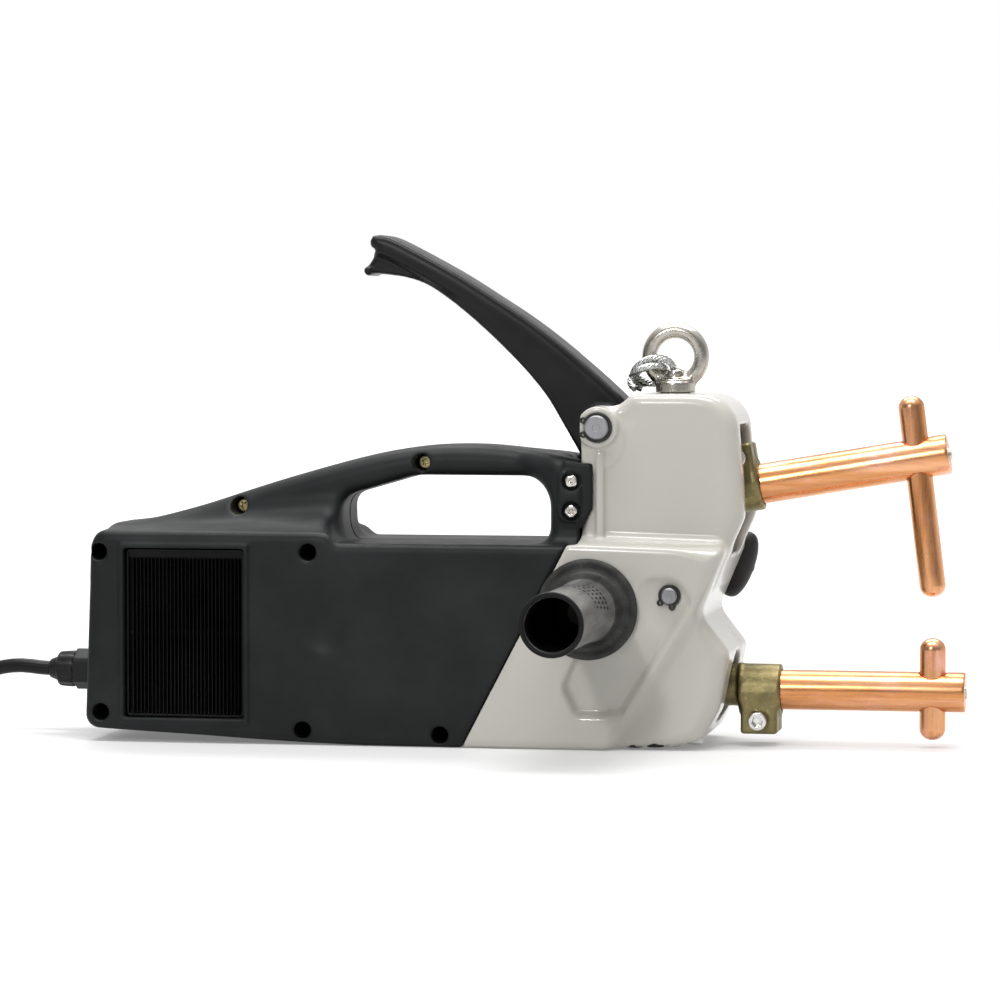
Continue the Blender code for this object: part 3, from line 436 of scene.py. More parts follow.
def surface(name, low, high, step, shape, material, matrix=None):
    """The mesh of shape(x, y, z) = 0, by surface nets on a grid, with its points then moved onto it."""
    axes = [np.arange(a - 2 * step, b + 2.5 * step, step) for a, b in zip(low, high)]
    field = shape(*np.meshgrid(*axes, indexing="ij", sparse=True))
    field = np.ascontiguousarray(np.broadcast_to(field, [len(a) for a in axes]), dtype=np.float64)
    inside = field < 0
    corners = list(np.ndindex(2, 2, 2))
    size = np.array(field.shape) - 1
    count = sum(inside[tuple(slice(c, c + n) for c, n in zip(corner, size))].astype(np.int8)
                for corner in corners)
    mixed = (count > 0) & (count < 8)
    cells = np.argwhere(mixed)
    index = np.full(mixed.shape, -1)
    index[mixed] = np.arange(len(cells))
    total, weight = np.zeros((len(cells), 3)), np.zeros((len(cells), 1))
    for one in corners:
        for axis in range(3):
            if one[axis]:
                continue
            two = np.array(one)
            two[axis] = 1
            f1, f2 = field[tuple((cells + one).T)], field[tuple((cells + two).T)]
            hit = (f1 < 0) != (f2 < 0)
            at = (cells + one).astype(float)
            at[:, axis] += np.where(hit, f1 / np.where(hit, f1 - f2, 1), 0)
            total += at * hit[:, None]
            weight += hit[:, None]
    points = total / weight
    for _ in range(3):
        slope = np.stack([sample(field, points + e) - sample(field, points - e) for e in np.eye(3) / 2], 1)
        away = sample(field, points)[:, None] * slope / np.maximum((slope ** 2).sum(1, keepdims=True), 1e-3)
        points -= np.clip(away, -0.5, 0.5)
    faces = []
    for axis in range(3):
        u, v = np.eye(3, dtype=int)[(axis + 1) % 3], np.eye(3, dtype=int)[(axis + 2) % 3]
        first = inside.take(range(field.shape[axis] - 1), axis)
        second = inside.take(range(1, field.shape[axis]), axis)
        edges = np.argwhere(first != second)
        ring = np.stack([index[tuple((edges - s).T)] for s in (0 * u, u, u + v, v)], 1)
        outward = first[tuple(edges.T)]
        faces += ring[outward].tolist() + ring[~outward][:, ::-1].tolist()
    points = (points * step + [a[0] for a in axes]) * MM
    made = new_object(name, points, faces, material)
    if matrix:
        placed = matrix.copy()
        placed.translation = placed.translation * MM
        made.data.transform(placed)
    return made


def mirrored(made, name):
    """A copy on the other side of the mid-plane."""
    mesh = made.data.copy()
    mesh.transform(Matrix.Diagonal((1, -1, 1, 1)))
    mesh.flip_normals()
    return add(name, mesh)


def lathe(name, profile, start, direction, material, segments=64, push=None, crease=38):
    """A profile of (distance, radius) points turned about an axis. push moves points outwards."""
    start, way = Vector(start), Vector(direction).normalized()
    turned = way.to_track_quat("Z", "Y").to_matrix()
    across, up = turned.col[0], turned.col[1]
    points, rows = [], []
    for distance, radius in profile:
        on_axis = radius < 1e-6
        row = []
        for i in range(1 if on_axis else segments):
            angle = 2 * math.pi * i / segments
            out = across * math.cos(angle) + up * math.sin(angle)
            more = push(distance, angle, radius) if push else 0
            row.append(len(points))
            points.append((start + way * distance + out * (radius + more)) * MM)
        rows.append(row * segments if on_axis else row)
    faces = []
    for one, two in zip(rows, rows[1:]):
        for i in range(segments):
            j = (i + 1) % segments
            faces.append(list(dict.fromkeys([one[i], one[j], two[j], two[i]])))
    return new_object(name, points, faces, material, crease)


def sweep(name, path, section, material, twist=0.0):
    """A section of (side, up) points carried along a path, turned by twist radians for each mm."""
    path = [Vector(p) for p in path]
    points, rows, travelled = [], [], 0.0
    up = Vector((0, 0, 1))
    for i, at in enumerate(path):
        ahead = path[min(i + 1, len(path) - 1)]
        way = (ahead - path[max(i - 1, 0)]).normalized()
        up = (up - way * up.dot(way)).normalized()
        side = way.cross(up)
        turn = Matrix.Rotation(twist * travelled, 2)
        rows.append(range(len(points), len(points) + len(section)))
        for a, b in section:
            a, b = turn @ Vector((a, b))
            points.append((at + side * a + up * b) * MM)
        travelled += (ahead - at).length
    return new_object(name, points, skin(rows), material)


def plane_map(point, tilt):
    """A matrix whose local X runs along an arm from this point."""
    return Matrix.Translation(point) @ Matrix.Rotation(-tilt, 4, "Y")


# Supply lead: its route is the CAD model's, then turns of the coil.

CORD_R = 3.75
CORD_HUMP = (-252.0, 33.4)
CORD_FLOOR_X = -335.0
CORD_FLOOR_Z = 3.95
COIL_CENTRE = Vector((-375.0, 49.7, 0))
COIL_RADII = (49.7, 41.9, 34.1)
COIL_PITCH = 7.75
TURN_POINTS = 36
GLAND_END_X = -236.0
PLUG_END = Vector((-424.7, 80.2, 18.2))


def cord_height(x):
    """The lead's height along X: level out of the gland, then an even fall to the floor."""
    hump_x, hump_z = CORD_HUMP
    if x > hump_x:
        rise = 0.5 * (1 - math.cos(math.pi * (GLAND_END_X - x) / (GLAND_END_X - hump_x)))
        return GLAND_Z + (hump_z - GLAND_Z) * rise
    if x < CORD_FLOOR_X:
        return CORD_FLOOR_Z
    fall = (hump_x - x) / (hump_x - CORD_FLOOR_X)
    return CORD_FLOOR_Z + (hump_z - CORD_FLOOR_Z) * 0.5 * (1 + math.cos(math.pi * fall))


def cord_points():
    """Down from the gland, round the coil in three layers from outside in and out again, to the plug."""
    start = GLAND_END_X - GAP
    stations = [start + (COIL_CENTRE.x + 6 - start) * i / 26 for i in range(27)]
    points = [(x, 0, cord_height(x)) for x in stations]
    order = [(0, 0), (1, 0), (2, 0), (2, 1), (1, 1), (0, 1), (0, 2), (0, 2)]
    for i in range(int(7.25 * TURN_POINTS) + 1):
        turn, part = divmod(i, TURN_POINTS)
        move = float(ease((part / TURN_POINTS - 0.72) / 0.28)) if turn < 6 else 0.0
        (ring, layer), (next_ring, next_layer) = order[turn], order[min(turn + 1, 7)]
        radius = COIL_RADII[ring] + (COIL_RADII[next_ring] - COIL_RADII[ring]) * move
        height = CORD_FLOOR_Z + COIL_PITCH * (layer + (next_layer - layer) * move)
        angle = -math.pi / 2 - 2 * math.pi * i / TURN_POINTS
        points.append((COIL_CENTRE.x + radius * math.cos(angle), COIL_CENTRE.y + radius * math.sin(angle),
                       height))
    last = Vector(points[-1])
    for part in (0.33, 0.66, 1.0):
        points.append(tuple(last.lerp(PLUG_END + Vector((0, 1, 0)), part)))
    return points


def supply_lead(black, satin, metal):
    points = cord_points()
    curve = bpy.data.curves.new("supply_cord", "CURVE")
    curve.dimensions = "3D"
    curve.bevel_depth = CORD_R * MM
    curve.bevel_resolution = 5
    curve.use_fill_caps = True
    spline = curve.splines.new("POLY")
    spline.points.add(len(points) - 1)
    for point, place in zip(spline.points, points):
        point.co = (*[v * MM for v in place], 1)
    curve.materials.append(black)
    cord = piece(add("supply_cord", curve), "frame", "gloss_black", "mains_cord", "cord_coil")
    low, high = box("cord_tie")
    ring = rectangle(low.x + 1, low.z + 0.5, high.x - 1, high.z - 1, 5)
    strap = rectangle(-3.6, -0.45, 3.6, 0.45, 0.3, 2)
    path = [(x, COIL_CENTRE.y, z) for x, z in ring]
    tie = piece(flat_band("coil_tie", path, strap, satin), "frame", "gloss_black", "cord_tie")
    plug = piece(mains_plug(satin, metal), "frame", "gloss_black", "plug")


def flat_band(name, path, section, material):
    """A closed strap: the section's first value runs along Y and its second out from the loop."""
    centre = sum((Vector(p) for p in path), Vector()) / len(path)
    points, rows = [], []
    for i, at in enumerate(path):
        way = (Vector(path[(i + 1) % len(path)]) - Vector(path[i - 1])).normalized()
        out = way.cross(Vector((0, 1, 0)))
        if out.dot(Vector(at) - centre) < 0:
            out = -out
        rows.append(range(len(points), len(points) + len(section)))
        points += [(Vector(at) + Vector((0, a, 0)) + out * b) * MM for a, b in section]
    return new_object(name, points, skin(rows, closed=True), material, 40)


def mains_plug(satin, metal):
    """A round two-pin plug with a ribbed boot, and its pins."""
    profile = [(0, 4.2), (0, 4.9), (1.5, 5.3)]
    for i in range(5):
        at = 3 + i * 4.0
        r = 5.4 + i * 0.55
        profile += [(at + d, r + lift) for d, lift in
                    ((0, 0), (0.5, -0.9), (1.6, -0.9), (2.1, 0.1), (3.4, 0.25))]
    profile += [(24.5, 8.4), (26.0, 12.5), (27.6, 15.6), (30, 17.2), (34, 17.8), (48, 17.6), (50, 16.9),
                (52, 17.6), (61, 17.8), (64, 17.2), (66, 15.8), (66, 0)]
    body = lathe("plug_body", [(0, 0)] + profile, PLUG_END, (0, 1, 0), satin)
    for side in (-1, 1):
        shape = [(0, 0), (0, 2.4), (15.5, 2.4), (17.8, 1.9), (18.4, 1.2), (18.5, 0)]
        foot = PLUG_END + Vector((9.5 * side, 65.5, 0))
        pin = lathe(f"plug_pin_{(side + 3) // 2}", shape, foot, (0, 1, 0), metal, 24)
        pin.parent = body
    return body


# Casing

CASING_BODY = rounded([
    (60, 0), (70, 100.8), (-73.5, 100.8, 5), (-79.5, 105.3, 6), (-200.6, 105.3, 9), (-204.2, 6.8, 7),
    (-170, 5.0), (-144, 3.8), (-118, 2.3), (-92, 1.1), (-60, 0.1), (-20, 0),
])
HANDLE = [(-200, 80)] + smooth(SPINE) + [(75, 137), (75, 80)]
WINDOW = rounded([(-79, 85, 8), (31.0, 85, 8), (31.0, 133.9, 15), (-40, 134.0, 36), (-79, 122.8, 11)])
HEAD_SIDE = [(-16.5, -10), (41.5, 101), (46.5, 101), (46.5, 200), (110, 200), (110, -10)]
TAB = rounded([(38, 109), (48.4, 109, 1), (53.4, 119, 2), (53.4, 141, 2), (38, 142.6)])
PLATE = rectangle(36.2, 112.2, 47.2, 137.0, 3.5)
DIMPLE = (-79.5, 56.7)
DIMPLE_R, DIMPLE_DEPTH = 45.5, 1.4
WALL = 3.0
POST_HALF = 36.3
GRIP_HALF = 19.5


def casing_outside(x, y, z):
    """The casing's outer skin, for both halves."""
    side = np.abs(y)
    body = slab(outline_field(x, z, CASING_BODY), side - CASE_HALF, 4.0)
    foot = 107.5 + 10 * np.clip((x + 192) / 112, 0, 1)
    top = 104.6 + (foot - 104.6) * np.clip((44.5 - side) / 25, 0, 1)
    roof = -join(-0.93 * (z - top), -(x + 80.5), 7)
    roof = -join(-roof, -(side - 45.5), 3)
    roof = -join(-roof, x + 198, 5)
    roof = np.maximum(roof, 85 - z)
    half = GRIP_HALF + (POST_HALF - GRIP_HALF) * ease((x - 10) / 27)
    handle = slab(outline_field(x, z, HANDLE), (side - half) * 0.9, 8.5)
    handle = carve(handle, outline_field(x, z, WINDOW), 6)
    whole = join(join(body, roof, 5), handle, 9)
    gland = rod(x, y, z, (-190, 0, GLAND_Z + 1), (-212, 0, GLAND_Z + 1), 14, 2)
    return join(whole, gland, 4)


def casing_details(x, y, z, outside):
    """The shell with its joint, tabs, vent frame and screw pillars."""
    side = np.abs(y)
    shell = carve(outside, outside + WALL, 0.4)
    pillars = [(at, CASE_HALF - 2, 6.4) for at in CASE_SCREWS]
    pillars += [(at, GRIP_HALF - 2, 5.8) for at in GRIP_SCREWS]
    for at, reach, radius in pillars:
        pillar = cross_rod(x, y, z, at, -reach, reach, radius, 0)
        shell = join(shell, np.maximum(pillar, outside + 0.8), 0.8)
    shell = carve(shell, outline_field(x, z, HEAD_SIDE), 0.8)
    shell = join(shell, slab(outline_field(x, z, TAB), np.abs(side - 35.3) - 1.0, 0.6), 0.8)
    shell = join(shell, slab(outline_field(x, z, PLATE), np.abs(side - 36.6) - 1.6, 1.0), 1.0)
    rim = block(x, side, z, (VENT_X0 - 3.0, CASE_HALF - 3, VENT_Z0 - 3.4),
                (VENT_X1 + 3.0, CASE_HALF + 1.5, VENT_Z1 + 3.0), 1.0)
    shell = join(shell, rim, 0.6)
    opening = block(x, side, z, (VENT_X0 - GAP, 30, VENT_Z0 - GAP), (VENT_X1 + GAP, 60, VENT_Z1 + GAP), 0.5)
    shell = carve(shell, opening, 0.8)
    return carve(shell, slab(off(x, z, LEVER_AXIS) - 24.5, side - 17.5, 1), 1.0)


def casing_near_field(x, y, z):
    """The near half, with its screw wells and the dimple in its side."""
    shell = casing_details(x, y, z, casing_outside(x, y, z))
    wells = [(at, -60, -12, 4.25, 0.2, 0.7) for at in CASE_SCREWS]
    wells += [(at, -40, -6.5, 4.25, 0.2, 0.9) for at in GRIP_SCREWS]
    wells += [(at, -50, -35.2, 4.6, 0.3, 0.7) for at in TAB_BOLTS]
    for at, start, end, radius, edge, fillet in wells:
        shell = carve(shell, cross_rod(x, y, z, at, start, end, radius, edge), fillet)
    ball_y = y + CASE_HALF - DIMPLE_DEPTH + DIMPLE_R
    dimple = np.sqrt((x - DIMPLE[0]) ** 2 + ball_y ** 2 + (z - DIMPLE[1]) ** 2) - DIMPLE_R
    shell = carve(shell, dimple, 0.15)
    return carve(shell, -(y + GAP / 2), 0.5)


def casing_far_field(x, y, z):
    """Drawn on the near side and mirrored."""
    shell = casing_details(x, y, z, casing_outside(x, y, z))
    return carve(shell, -(y + GAP / 2), 0.5)


def casing(material):
    low, high = (-213, -51, -0.5), (54, 0, 151)
    near = surface("casing_shell_near", low, high, 1.13, casing_near_field, material)
    piece(near, "frame", "casing", "casing_near")
    drawn = surface("casing_shell_drawn", low, high, 1.1, casing_far_field, material)
    far = mirrored(drawn, "casing_shell_far")
    bpy.data.objects.remove(drawn)
    piece(far, "frame", "casing", "casing_far")


def grille(name, side, node, material):
    """A vent insert: a frame, upright louvres with round noses, cross bars, a black band over the louvres'
    tops and a black sheet behind them. The band and the sheet are painted shade: dark pieces put where the
    inside of the vent lies in shade.
    """
    x0, x1, z0, z1 = VENT_X0, VENT_X1, VENT_Z0, VENT_Z1
    rim, count, lean = 1.3, 29, 0.35
    points, faces = [], []

    def strip(path, profile, closed=False):
        """Carries a profile of (across, out) along a path of (x, z), and adds its faces."""
        rows = []
        for i, (x, z) in enumerate(path):
            ahead = path[(i + 1) % len(path)] if closed else path[min(i + 1, len(path) - 1)]
            behind = path[i - 1] if closed else path[max(i - 1, 0)]
            way = (Vector(ahead) - Vector(behind)).normalized()
            rows.append(range(len(points), len(points) + len(profile)))
            for across, out in profile:
                points.append(Vector((x + way.y * across, side * (44.6 + out), z - way.x * across)) * MM)
        faces.extend(skin(rows, closed))

    section = rounded([(-0.65, -2.6, 0.2), (0.65, -2.6, 0.2), (0.65, 1.4, 0.4), (-0.65, 1.4, 0.4)], 3)
    strip(rectangle(x0 + rim / 2, z0 + rim / 2, x1 - rim / 2, z1 - rim / 2, 1.5, 4), section, closed=True)
    pitch = (x1 - x0 - 2 * rim) / (count + 1)
    top = z1 - 5.2
    blade = [(-0.30 - lean, -1.6), (0.30 - lean, -1.6), (0.42 + lean, 0.9), (0.25 + lean, 1.35),
             (0.0 + lean, 1.5), (-0.25 + lean, 1.35), (-0.42 + lean, 0.9)]
    for i in range(count):
        at = x0 + rim + pitch * (i + 1)
        strip([(at, z0 + 0.9), (at, z0 + 2.4), (at, top - 0.8), (at, top)], blade)
    half_way, tall = (z0 + z1) / 2, (z1 - z0) / 2 - 1
    bar = [(-0.9, -2.4), (0.9, -2.4), (0.9, -1.2), (-0.9, -1.2)]
    # A black sheet behind the louvres, painted shade for the dark inside of the vent.
    shade_sheet = [(-tall, -3.0), (tall, -3.0), (tall, -2.5), (-tall, -2.5)]
    # A black band over the louvres' tops, painted shade for the recess above them.
    band = [(-1.9, -2.4), (1.9, -2.4), (1.9, 0.0), (1.6, 0.3), (-1.6, 0.3), (-1.9, 0.0)]
    for inset, height, profile in ((rim / 2, z0 + 1.8, bar), (rim / 2, half_way, bar),
                                   (rim / 2, top + 0.8, bar), (1, half_way, shade_sheet), (0.8, z1 - 2.8, band)):
        strip([(x0 + inset, height), (x1 - inset, height)], profile)
    made = new_object(name, points, faces, material, 40)
    recalculate(made)
    return piece(made, "frame", "gloss_black", node)


def recalculate(made):
    bm = bmesh.new()
    bm.from_mesh(made.data)
    bmesh.ops.recalc_face_normals(bm, faces=bm.faces)
    bm.to_mesh(made.data)
    bm.free()


# Head casting

HEAD_LOWER = rounded([
    (-40, 0), (60, 0, 20), (96, 2.8, 20), (107.5, 4.6, 7), (116.2, 20, 14), (121.6, 48.3, 5),
    (107.2, 67, 9), (121.4, 100, 4), (40, 102.4),
])
HEAD_UPPER = rounded([
    (47, 88), (112.2, 80), (127.4, 114.5, 9), (126.6, 134, 30), (122.8, 175.3, 18), (72, 175.3, 6),
    (65, 169.8, 8), (52, 169.0, 10), (45.6, 160, 9),
])
HEAD_JOINT = [(-15.9, -10), (42.1, 101), (46.9, 101.3), (46.9, 200), (-90, 200), (-90, -10)]
POCKET = rounded([
    (47.5, 52, 4), (38.5, 31, 9), (46, 15.8, 5), (70, 15.8, 3), (95, 57, 12), (107, 74, 8), (97, 86.5, 10),
    (78, 86.5, 10), (72, 66, 8),
])
HEAD_RIB = rounded([(54.8, 96, 1), (59.0, 96, 1), (58.6, 147, 1), (54.8, 147, 1)], 3)
NOSE_HALF = 42.0
UPPER_HALF = 34.0


def head_outside(x, y, z):
    side = np.abs(y)
    beyond = (x - 59.5 - 0.625 * z) * 0.848
    wide = NOSE_HALF + (CASE_HALF - NOSE_HALF) * (1 - ease(beyond / 8))
    pocket = outline_field(x, z, POCKET)
    deep = ease(-pocket / 3.4) * (1.4 + 3.0 * ease((62 - z) / 22))
    lift = 2.6 * np.clip((46 - side) / 12, 0, 1) * ease((z - 75) / 20)
    lower = slab(outline_field(x, z - lift, HEAD_LOWER), side - wide + deep, 3.8 + 5 * ease((x - 92) / 24))
    flat = outline_field(x, z, HEAD_UPPER)
    pad = ease((17.5 - np.hypot(x - 52.5, z - 153)) / 2.0) * 1.1
    neck = ease((78 - x) / 8) * ease((z - 155) / 10) * 0.6
    upper = slab(flat, side - UPPER_HALF - pad + neck, 5.0 + 3.5 * ease((x - 98) / 24))
    whole = join(lower, upper, 4)
    rib = slab(outline_field(x, z, HEAD_RIB), side - 37.2, 1.0)
    whole = join(whole, np.maximum(rib, 30 - side), 1.6)
    return join(whole, cross_rod(x, side, z, LEVER_AXIS, 20, 38, 10.3, 1.2), 2.0)


HOLLOW_LOW = rounded([
    (-60, 5.5), (60, 6), (101, 9.7, 6), (109.8, 21, 5), (115.2, 45, 3), (101.2, 66, 8), (113, 95.5),
    (-60, 95.5),
])
HOLLOW_HIGH = rounded([
    (15, 90), (109, 90), (121, 113, 6), (120.4, 140, 20), (116.6, 169.3, 12), (76, 169.3, 4), (73, 176, 1),
    (74, 200), (15, 200),
])
MOUTH = rectangle(-15, 11, 15, 46.5, 12)
FRONT_SLOT = rectangle(100, 96, 150, 159.5)


def head_field(x, y, z):
    side = np.abs(y)
    whole = head_outside(x, y, z)
    wide_line = (x - 50.5 - 0.55 * z) * 0.87
    reach = 36.5 + 3.0 * (1 - ease(wide_line / 8 + 0.5))
    whole = carve(whole, slab(outline_field(x, z, HOLLOW_LOW), side - reach, 3), 1.0)
    whole = carve(whole, slab(outline_field(x, z, HOLLOW_HIGH), side - 28, 3), 1.5)
    whole = join(whole, block(x, side, z, (37.5, 22, 112), (53, 32.6, 138), 1), 1)
    whole = join(whole, block(x, y, z, (67.4, -29, 128.3), (78, 29, 130.8), 0.4), 0.8)
    whole = carve(whole, outline_field(x, z, HEAD_JOINT), 0.7)
    whole = carve(whole, slab(outline_field(x, z, FRONT_SLOT), side - 19, 5), 2.2)
    whole = carve(whole, np.maximum(outline_field(y, z, MOUTH), 100 - x), 1.6)
    whole = carve(whole, off(x, z, LEVER_AXIS) - 6.3, 0.5)
    whole = carve(whole, off(x, z, ROCKER_AXIS) - 4.3, 0.4)
    whole = carve(whole, np.maximum(np.hypot(x - EYE_X, y) - 4.3, 150 - z), 0.4)
    for number in range(1, 5):
        at = middle(f"bottom_screw_{number}")
        whole = carve(whole, rod(x, y, z, (at.x, at.y, -8), (at.x, at.y, 4.6), 4.9, 0.2), 0.5)
    return whole


def head(material):
    made = surface("head_shell", (-12, -49, -0.5), (129, 49, 176), 1.15, head_field, material)
    return piece(made, "frame", "head_paint", "head_casting")


# Lever

LEVER_TOP = smooth([
    (70, 164), (63, 174), (38.5, 195.6), (18.3, 211.2), (-2, 224.5), (-22, 236.8), (-50, 251.6),
    (-59.0, 254.4),
])
LEVER_TIP = [
    (-62.6, 254.0), (-64.2, 251.4), (-63.6, 248.8), (-61.2, 247.0), (-63.6, 242.5), (-66.0, 238.8),
    (-67.2, 236.6), (-66.6, 234.8), (-65.2, 234.2), (-63.6, 235.0),
]
LEVER_UNDER = smooth([
    (-61, 235.2), (-49, 233.6), (-35.7, 229.4), (-20.4, 219.3), (-2.5, 204.3), (12.8, 189.3), (25.5, 174.3),
    (34.6, 159.4), (42.4, 146),
])


def lever_outline():
    heel = []
    for degrees in range(-122, -8, 6):
        radius = 22.0 - max(0, degrees + 114) / 18
        angle = math.radians(degrees)
        heel.append((LEVER_AXIS.x + radius * math.cos(angle), LEVER_AXIS.z + radius * math.sin(angle)))
    return LEVER_TOP + LEVER_TIP + LEVER_UNDER + heel


def lever_field(x, y, z):
    side = np.abs(y)
    flat = outline_field(x, z, lever_outline())
    below = outline_field(x, z, LEVER_TOP + [(-90, 262), (-90, 300), (90, 300), (90, 150)])
    swell = ease((14 - x) / 60)
    waist = swell * 3.6 * ease((below - 8) / 4) * ease((21 + 5 * swell - below) / 7)
    bar = slab(flat, side - 15.3 + waist, 3.4)
    roll = slab(np.maximum(flat, below - 10.5), side - 15.3, 5.0)
    bar = join(bar, roll, 1.0)
    nub = np.sqrt((x + 65.4) ** 2 + np.maximum(side - 11, 0) ** 2 + (z - 236.6) ** 2) - 2.2
    bar = join(bar, nub, 1.2)
    inside = [(px - 2.8, pz - 4.4) for px, pz in LEVER_TOP[2:-6]]
    channel = inside + [(-50, 225), (-20, 203), (0, 180), (20, 150), (44, 118), (84, 118), (84, 160)]
    bar = carve(bar, slab(outline_field(x, z, channel), side - 11.8 + waist, 3), 1.5)
    bar = join(bar, slab(off(x, z, LEVER_AXIS) - 10.5, np.abs(side - 19.9) - 7.5, 0.8), 1.5)
    bar = carve(bar, off(x, z, LEVER_AXIS) - 6.3, 0.3)
    return carve(bar, off(x, z, middle("crank_pin")) - 3.3, 0.3)


def lever(material):
    made = surface("squeeze_lever", (-73, -28, 136), (73, 28, 256), 0.95, lever_field, material)
    return piece(made, "lever", "gloss_black", "lever")


# Pins, rings and screws


def pin_piece(name, node, radius, material):
    """A turned pin with chamfered ends and a shallow turned ring in each face."""
    low, high = box(node)
    axis = middle(node)
    length = high.y - low.y
    half = [(0.12, 0), (0.12, radius * 0.30), (0.0, radius * 0.34), (0.0, radius - 0.7),
            (0.25, radius - 0.35), (0.7, radius), (3.0, radius), (3.2, radius - 0.25), (4.1, radius - 0.25),
            (4.3, radius)]
    profile = half + [(length - d, r) for d, r in reversed(half)]
    made = lathe(name, profile, (axis.x, low.y, axis.z), (0, 1, 0), material, 64, crease=8)
    return piece(made, "frame", "steel", node)


def ring_piece(name, node, shaft, lug_angle, material, seat):
    """An external retaining ring with two eyes."""
    axis = LEVER_AXIS if "lever" in node else ROCKER_AXIS
    side = math.copysign(1, middle(node).y)
    thick = 1.2
    start = math.radians(lug_angle)
    spread = 0.47 if axis is LEVER_AXIS else 0.58

    def field(x, y, z):
        out = np.hypot(x - axis.x, z - axis.z)
        way = np.arctan2(z - axis.z, x - axis.x)
        away = np.abs((way - start + np.pi) % (2 * np.pi) - np.pi)
        ring = np.abs(out - shaft - 0.8) - 0.15 - 0.65 * (0.55 + 0.45 * ease(away / 2.4))
        ring = np.maximum(ring, (spread - away) * out)
        for sign in (-1, 1):
            angle = start + sign * spread
            a = axis.x + (shaft + 1.7) * math.cos(angle)
            b = axis.z + (shaft + 1.7) * math.sin(angle)
            ring = join(ring, np.hypot(x - a, z - b) - 1.65, 0.6)
            ring = np.maximum(ring, 0.65 - np.hypot(x - a, z - b))
        return slab(np.maximum(ring, shaft - out), np.abs(y) - thick / 2, 0.15)

    reach = shaft + 5
    made = surface(name, (axis.x - reach, -1, axis.z - reach), (axis.x + reach, 1, axis.z + reach), 0.24,
                   field, material, Matrix.Translation((0, side * (seat + thick / 2), 0)))
    return piece(made, "frame", "black_steel", node)


def screw_field(radius, height, shaft, length, recess):
    """A screw along +Z whose head's top is at 0 and whose shaft runs down."""

    def field(x, y, z):
        out = np.hypot(x, y)

        def plus(wide, reach, fillet):
            """Two crossed bars."""
            return join(np.maximum(np.abs(x) - wide, np.abs(y) - reach),
                        np.maximum(np.abs(y) - wide, np.abs(x) - reach), fillet)

        top, edge = out - radius, 0.7
        if recess == "hex":
            edge, depth, fillet = 0.35, height * 0.6, 0.15
            cut = np.maximum(np.abs(x) * 0.866 + np.abs(y) * 0.5, np.abs(y)) - radius * 0.52
        elif recess == "cross":
            depth, fillet = 1.3, 0.15
            cut = join(plus(0.42, 1.75, 0), out - 0.8, 0.4)
        else:
            edge, depth, fillet = 0.4, 0.8, 0.2
            cut = plus(0.35, 1.5, 0.2)
            square = np.maximum(np.abs(x), np.abs(y)) - radius * 0.70
            top = np.maximum(square, (np.abs(x) + np.abs(y)) * 0.7071 - radius * 0.78)
        head_part = slab(top, np.abs(z + height / 2) - height / 2, edge)
        body = slab(out - shaft, np.abs(z + length / 2) - length / 2, 0.4)
        thread = 0.16 * np.sin(2 * np.pi * (z / 0.9 + np.arctan2(y, x) / (2 * np.pi)))
        body = np.maximum(body + np.where(z < -height - 2, thread, 0), -z - length)
        return carve(join(head_part, body, 0.3), np.maximum(cut, -z - depth), fillet)

    return field


def screw(name, node, body, slot, material, top, direction, size, turn):
    """A screw whose head's top is at this point, with its shaft along a direction."""
    radius, _, shaft, length, _ = size
    way = (-Vector(direction)).normalized()
    matrix = Matrix.Translation(Vector(top)) @ way.to_track_quat("Z", "Y").to_matrix().to_4x4()
    matrix = matrix @ Matrix.Rotation(turn, 4, "Z")
    reach = max(radius, shaft) + 0.3
    made = surface(name, (-reach, -reach, -length - 0.3), (reach, reach, 0.3), 0.28, screw_field(*size),
                   material, matrix)
    return piece(made, body, slot, node)


# Arms, holders and electrodes


def clamp_field(x, y, z, back, front, ear):
    """A split clamp round an arm along X, with ears on the side that ear says."""
    shell = rod(x, y, z, (back, 0, 0), (front, 0, 0), 12.9, 1.0)
    low, high = sorted((0, ear * 21.4))
    ears = block(x, y, z, (back + 1.3, -12.4, low), (front - 1.0, 12.4, high), 1.6)
    whole = join(shell, ears, 2.5)
    whole = carve(whole, np.maximum(np.hypot(y, z) - 10.2, back + 2.5 - x), 0.6)
    whole = carve(whole, np.maximum(np.abs(y) - 1.1, 2 - ear * z), 0.5)
    middle_x = (back + front) / 2
    hole = np.hypot(x - middle_x, z - ear * 14.6)
    whole = carve(whole, hole - 2.8, 0.3)
    return carve(whole, np.maximum(hole - 5.0, y + 12.0), 0.4)


def lower_holder_field(x, y, z):
    shank = rod(x, y, z, (66, 0, 29.6), (123.5, 0, 29.6), 10.6, 0.6)
    clamp = clamp_field(x - LOWER_ARM_POINT.x, y, z - LOWER_ARM_POINT.z, -9.4, 11.3, -1)
    whole = join(shank, clamp, 2.0)
    bore = np.maximum(np.hypot(y, z - LOWER_ARM_POINT.z) - 10.2, 125.1 - x)
    return carve(whole, bore, 0.4)


HOLDER_WEB = rounded([
    (84, 70, 4), (101, 70, 4), (104, 100, 6), (113, 108, 5), (119, 117, 2), (119, 141, 3), (108, 147, 4),
    (84, 147, 6),
])


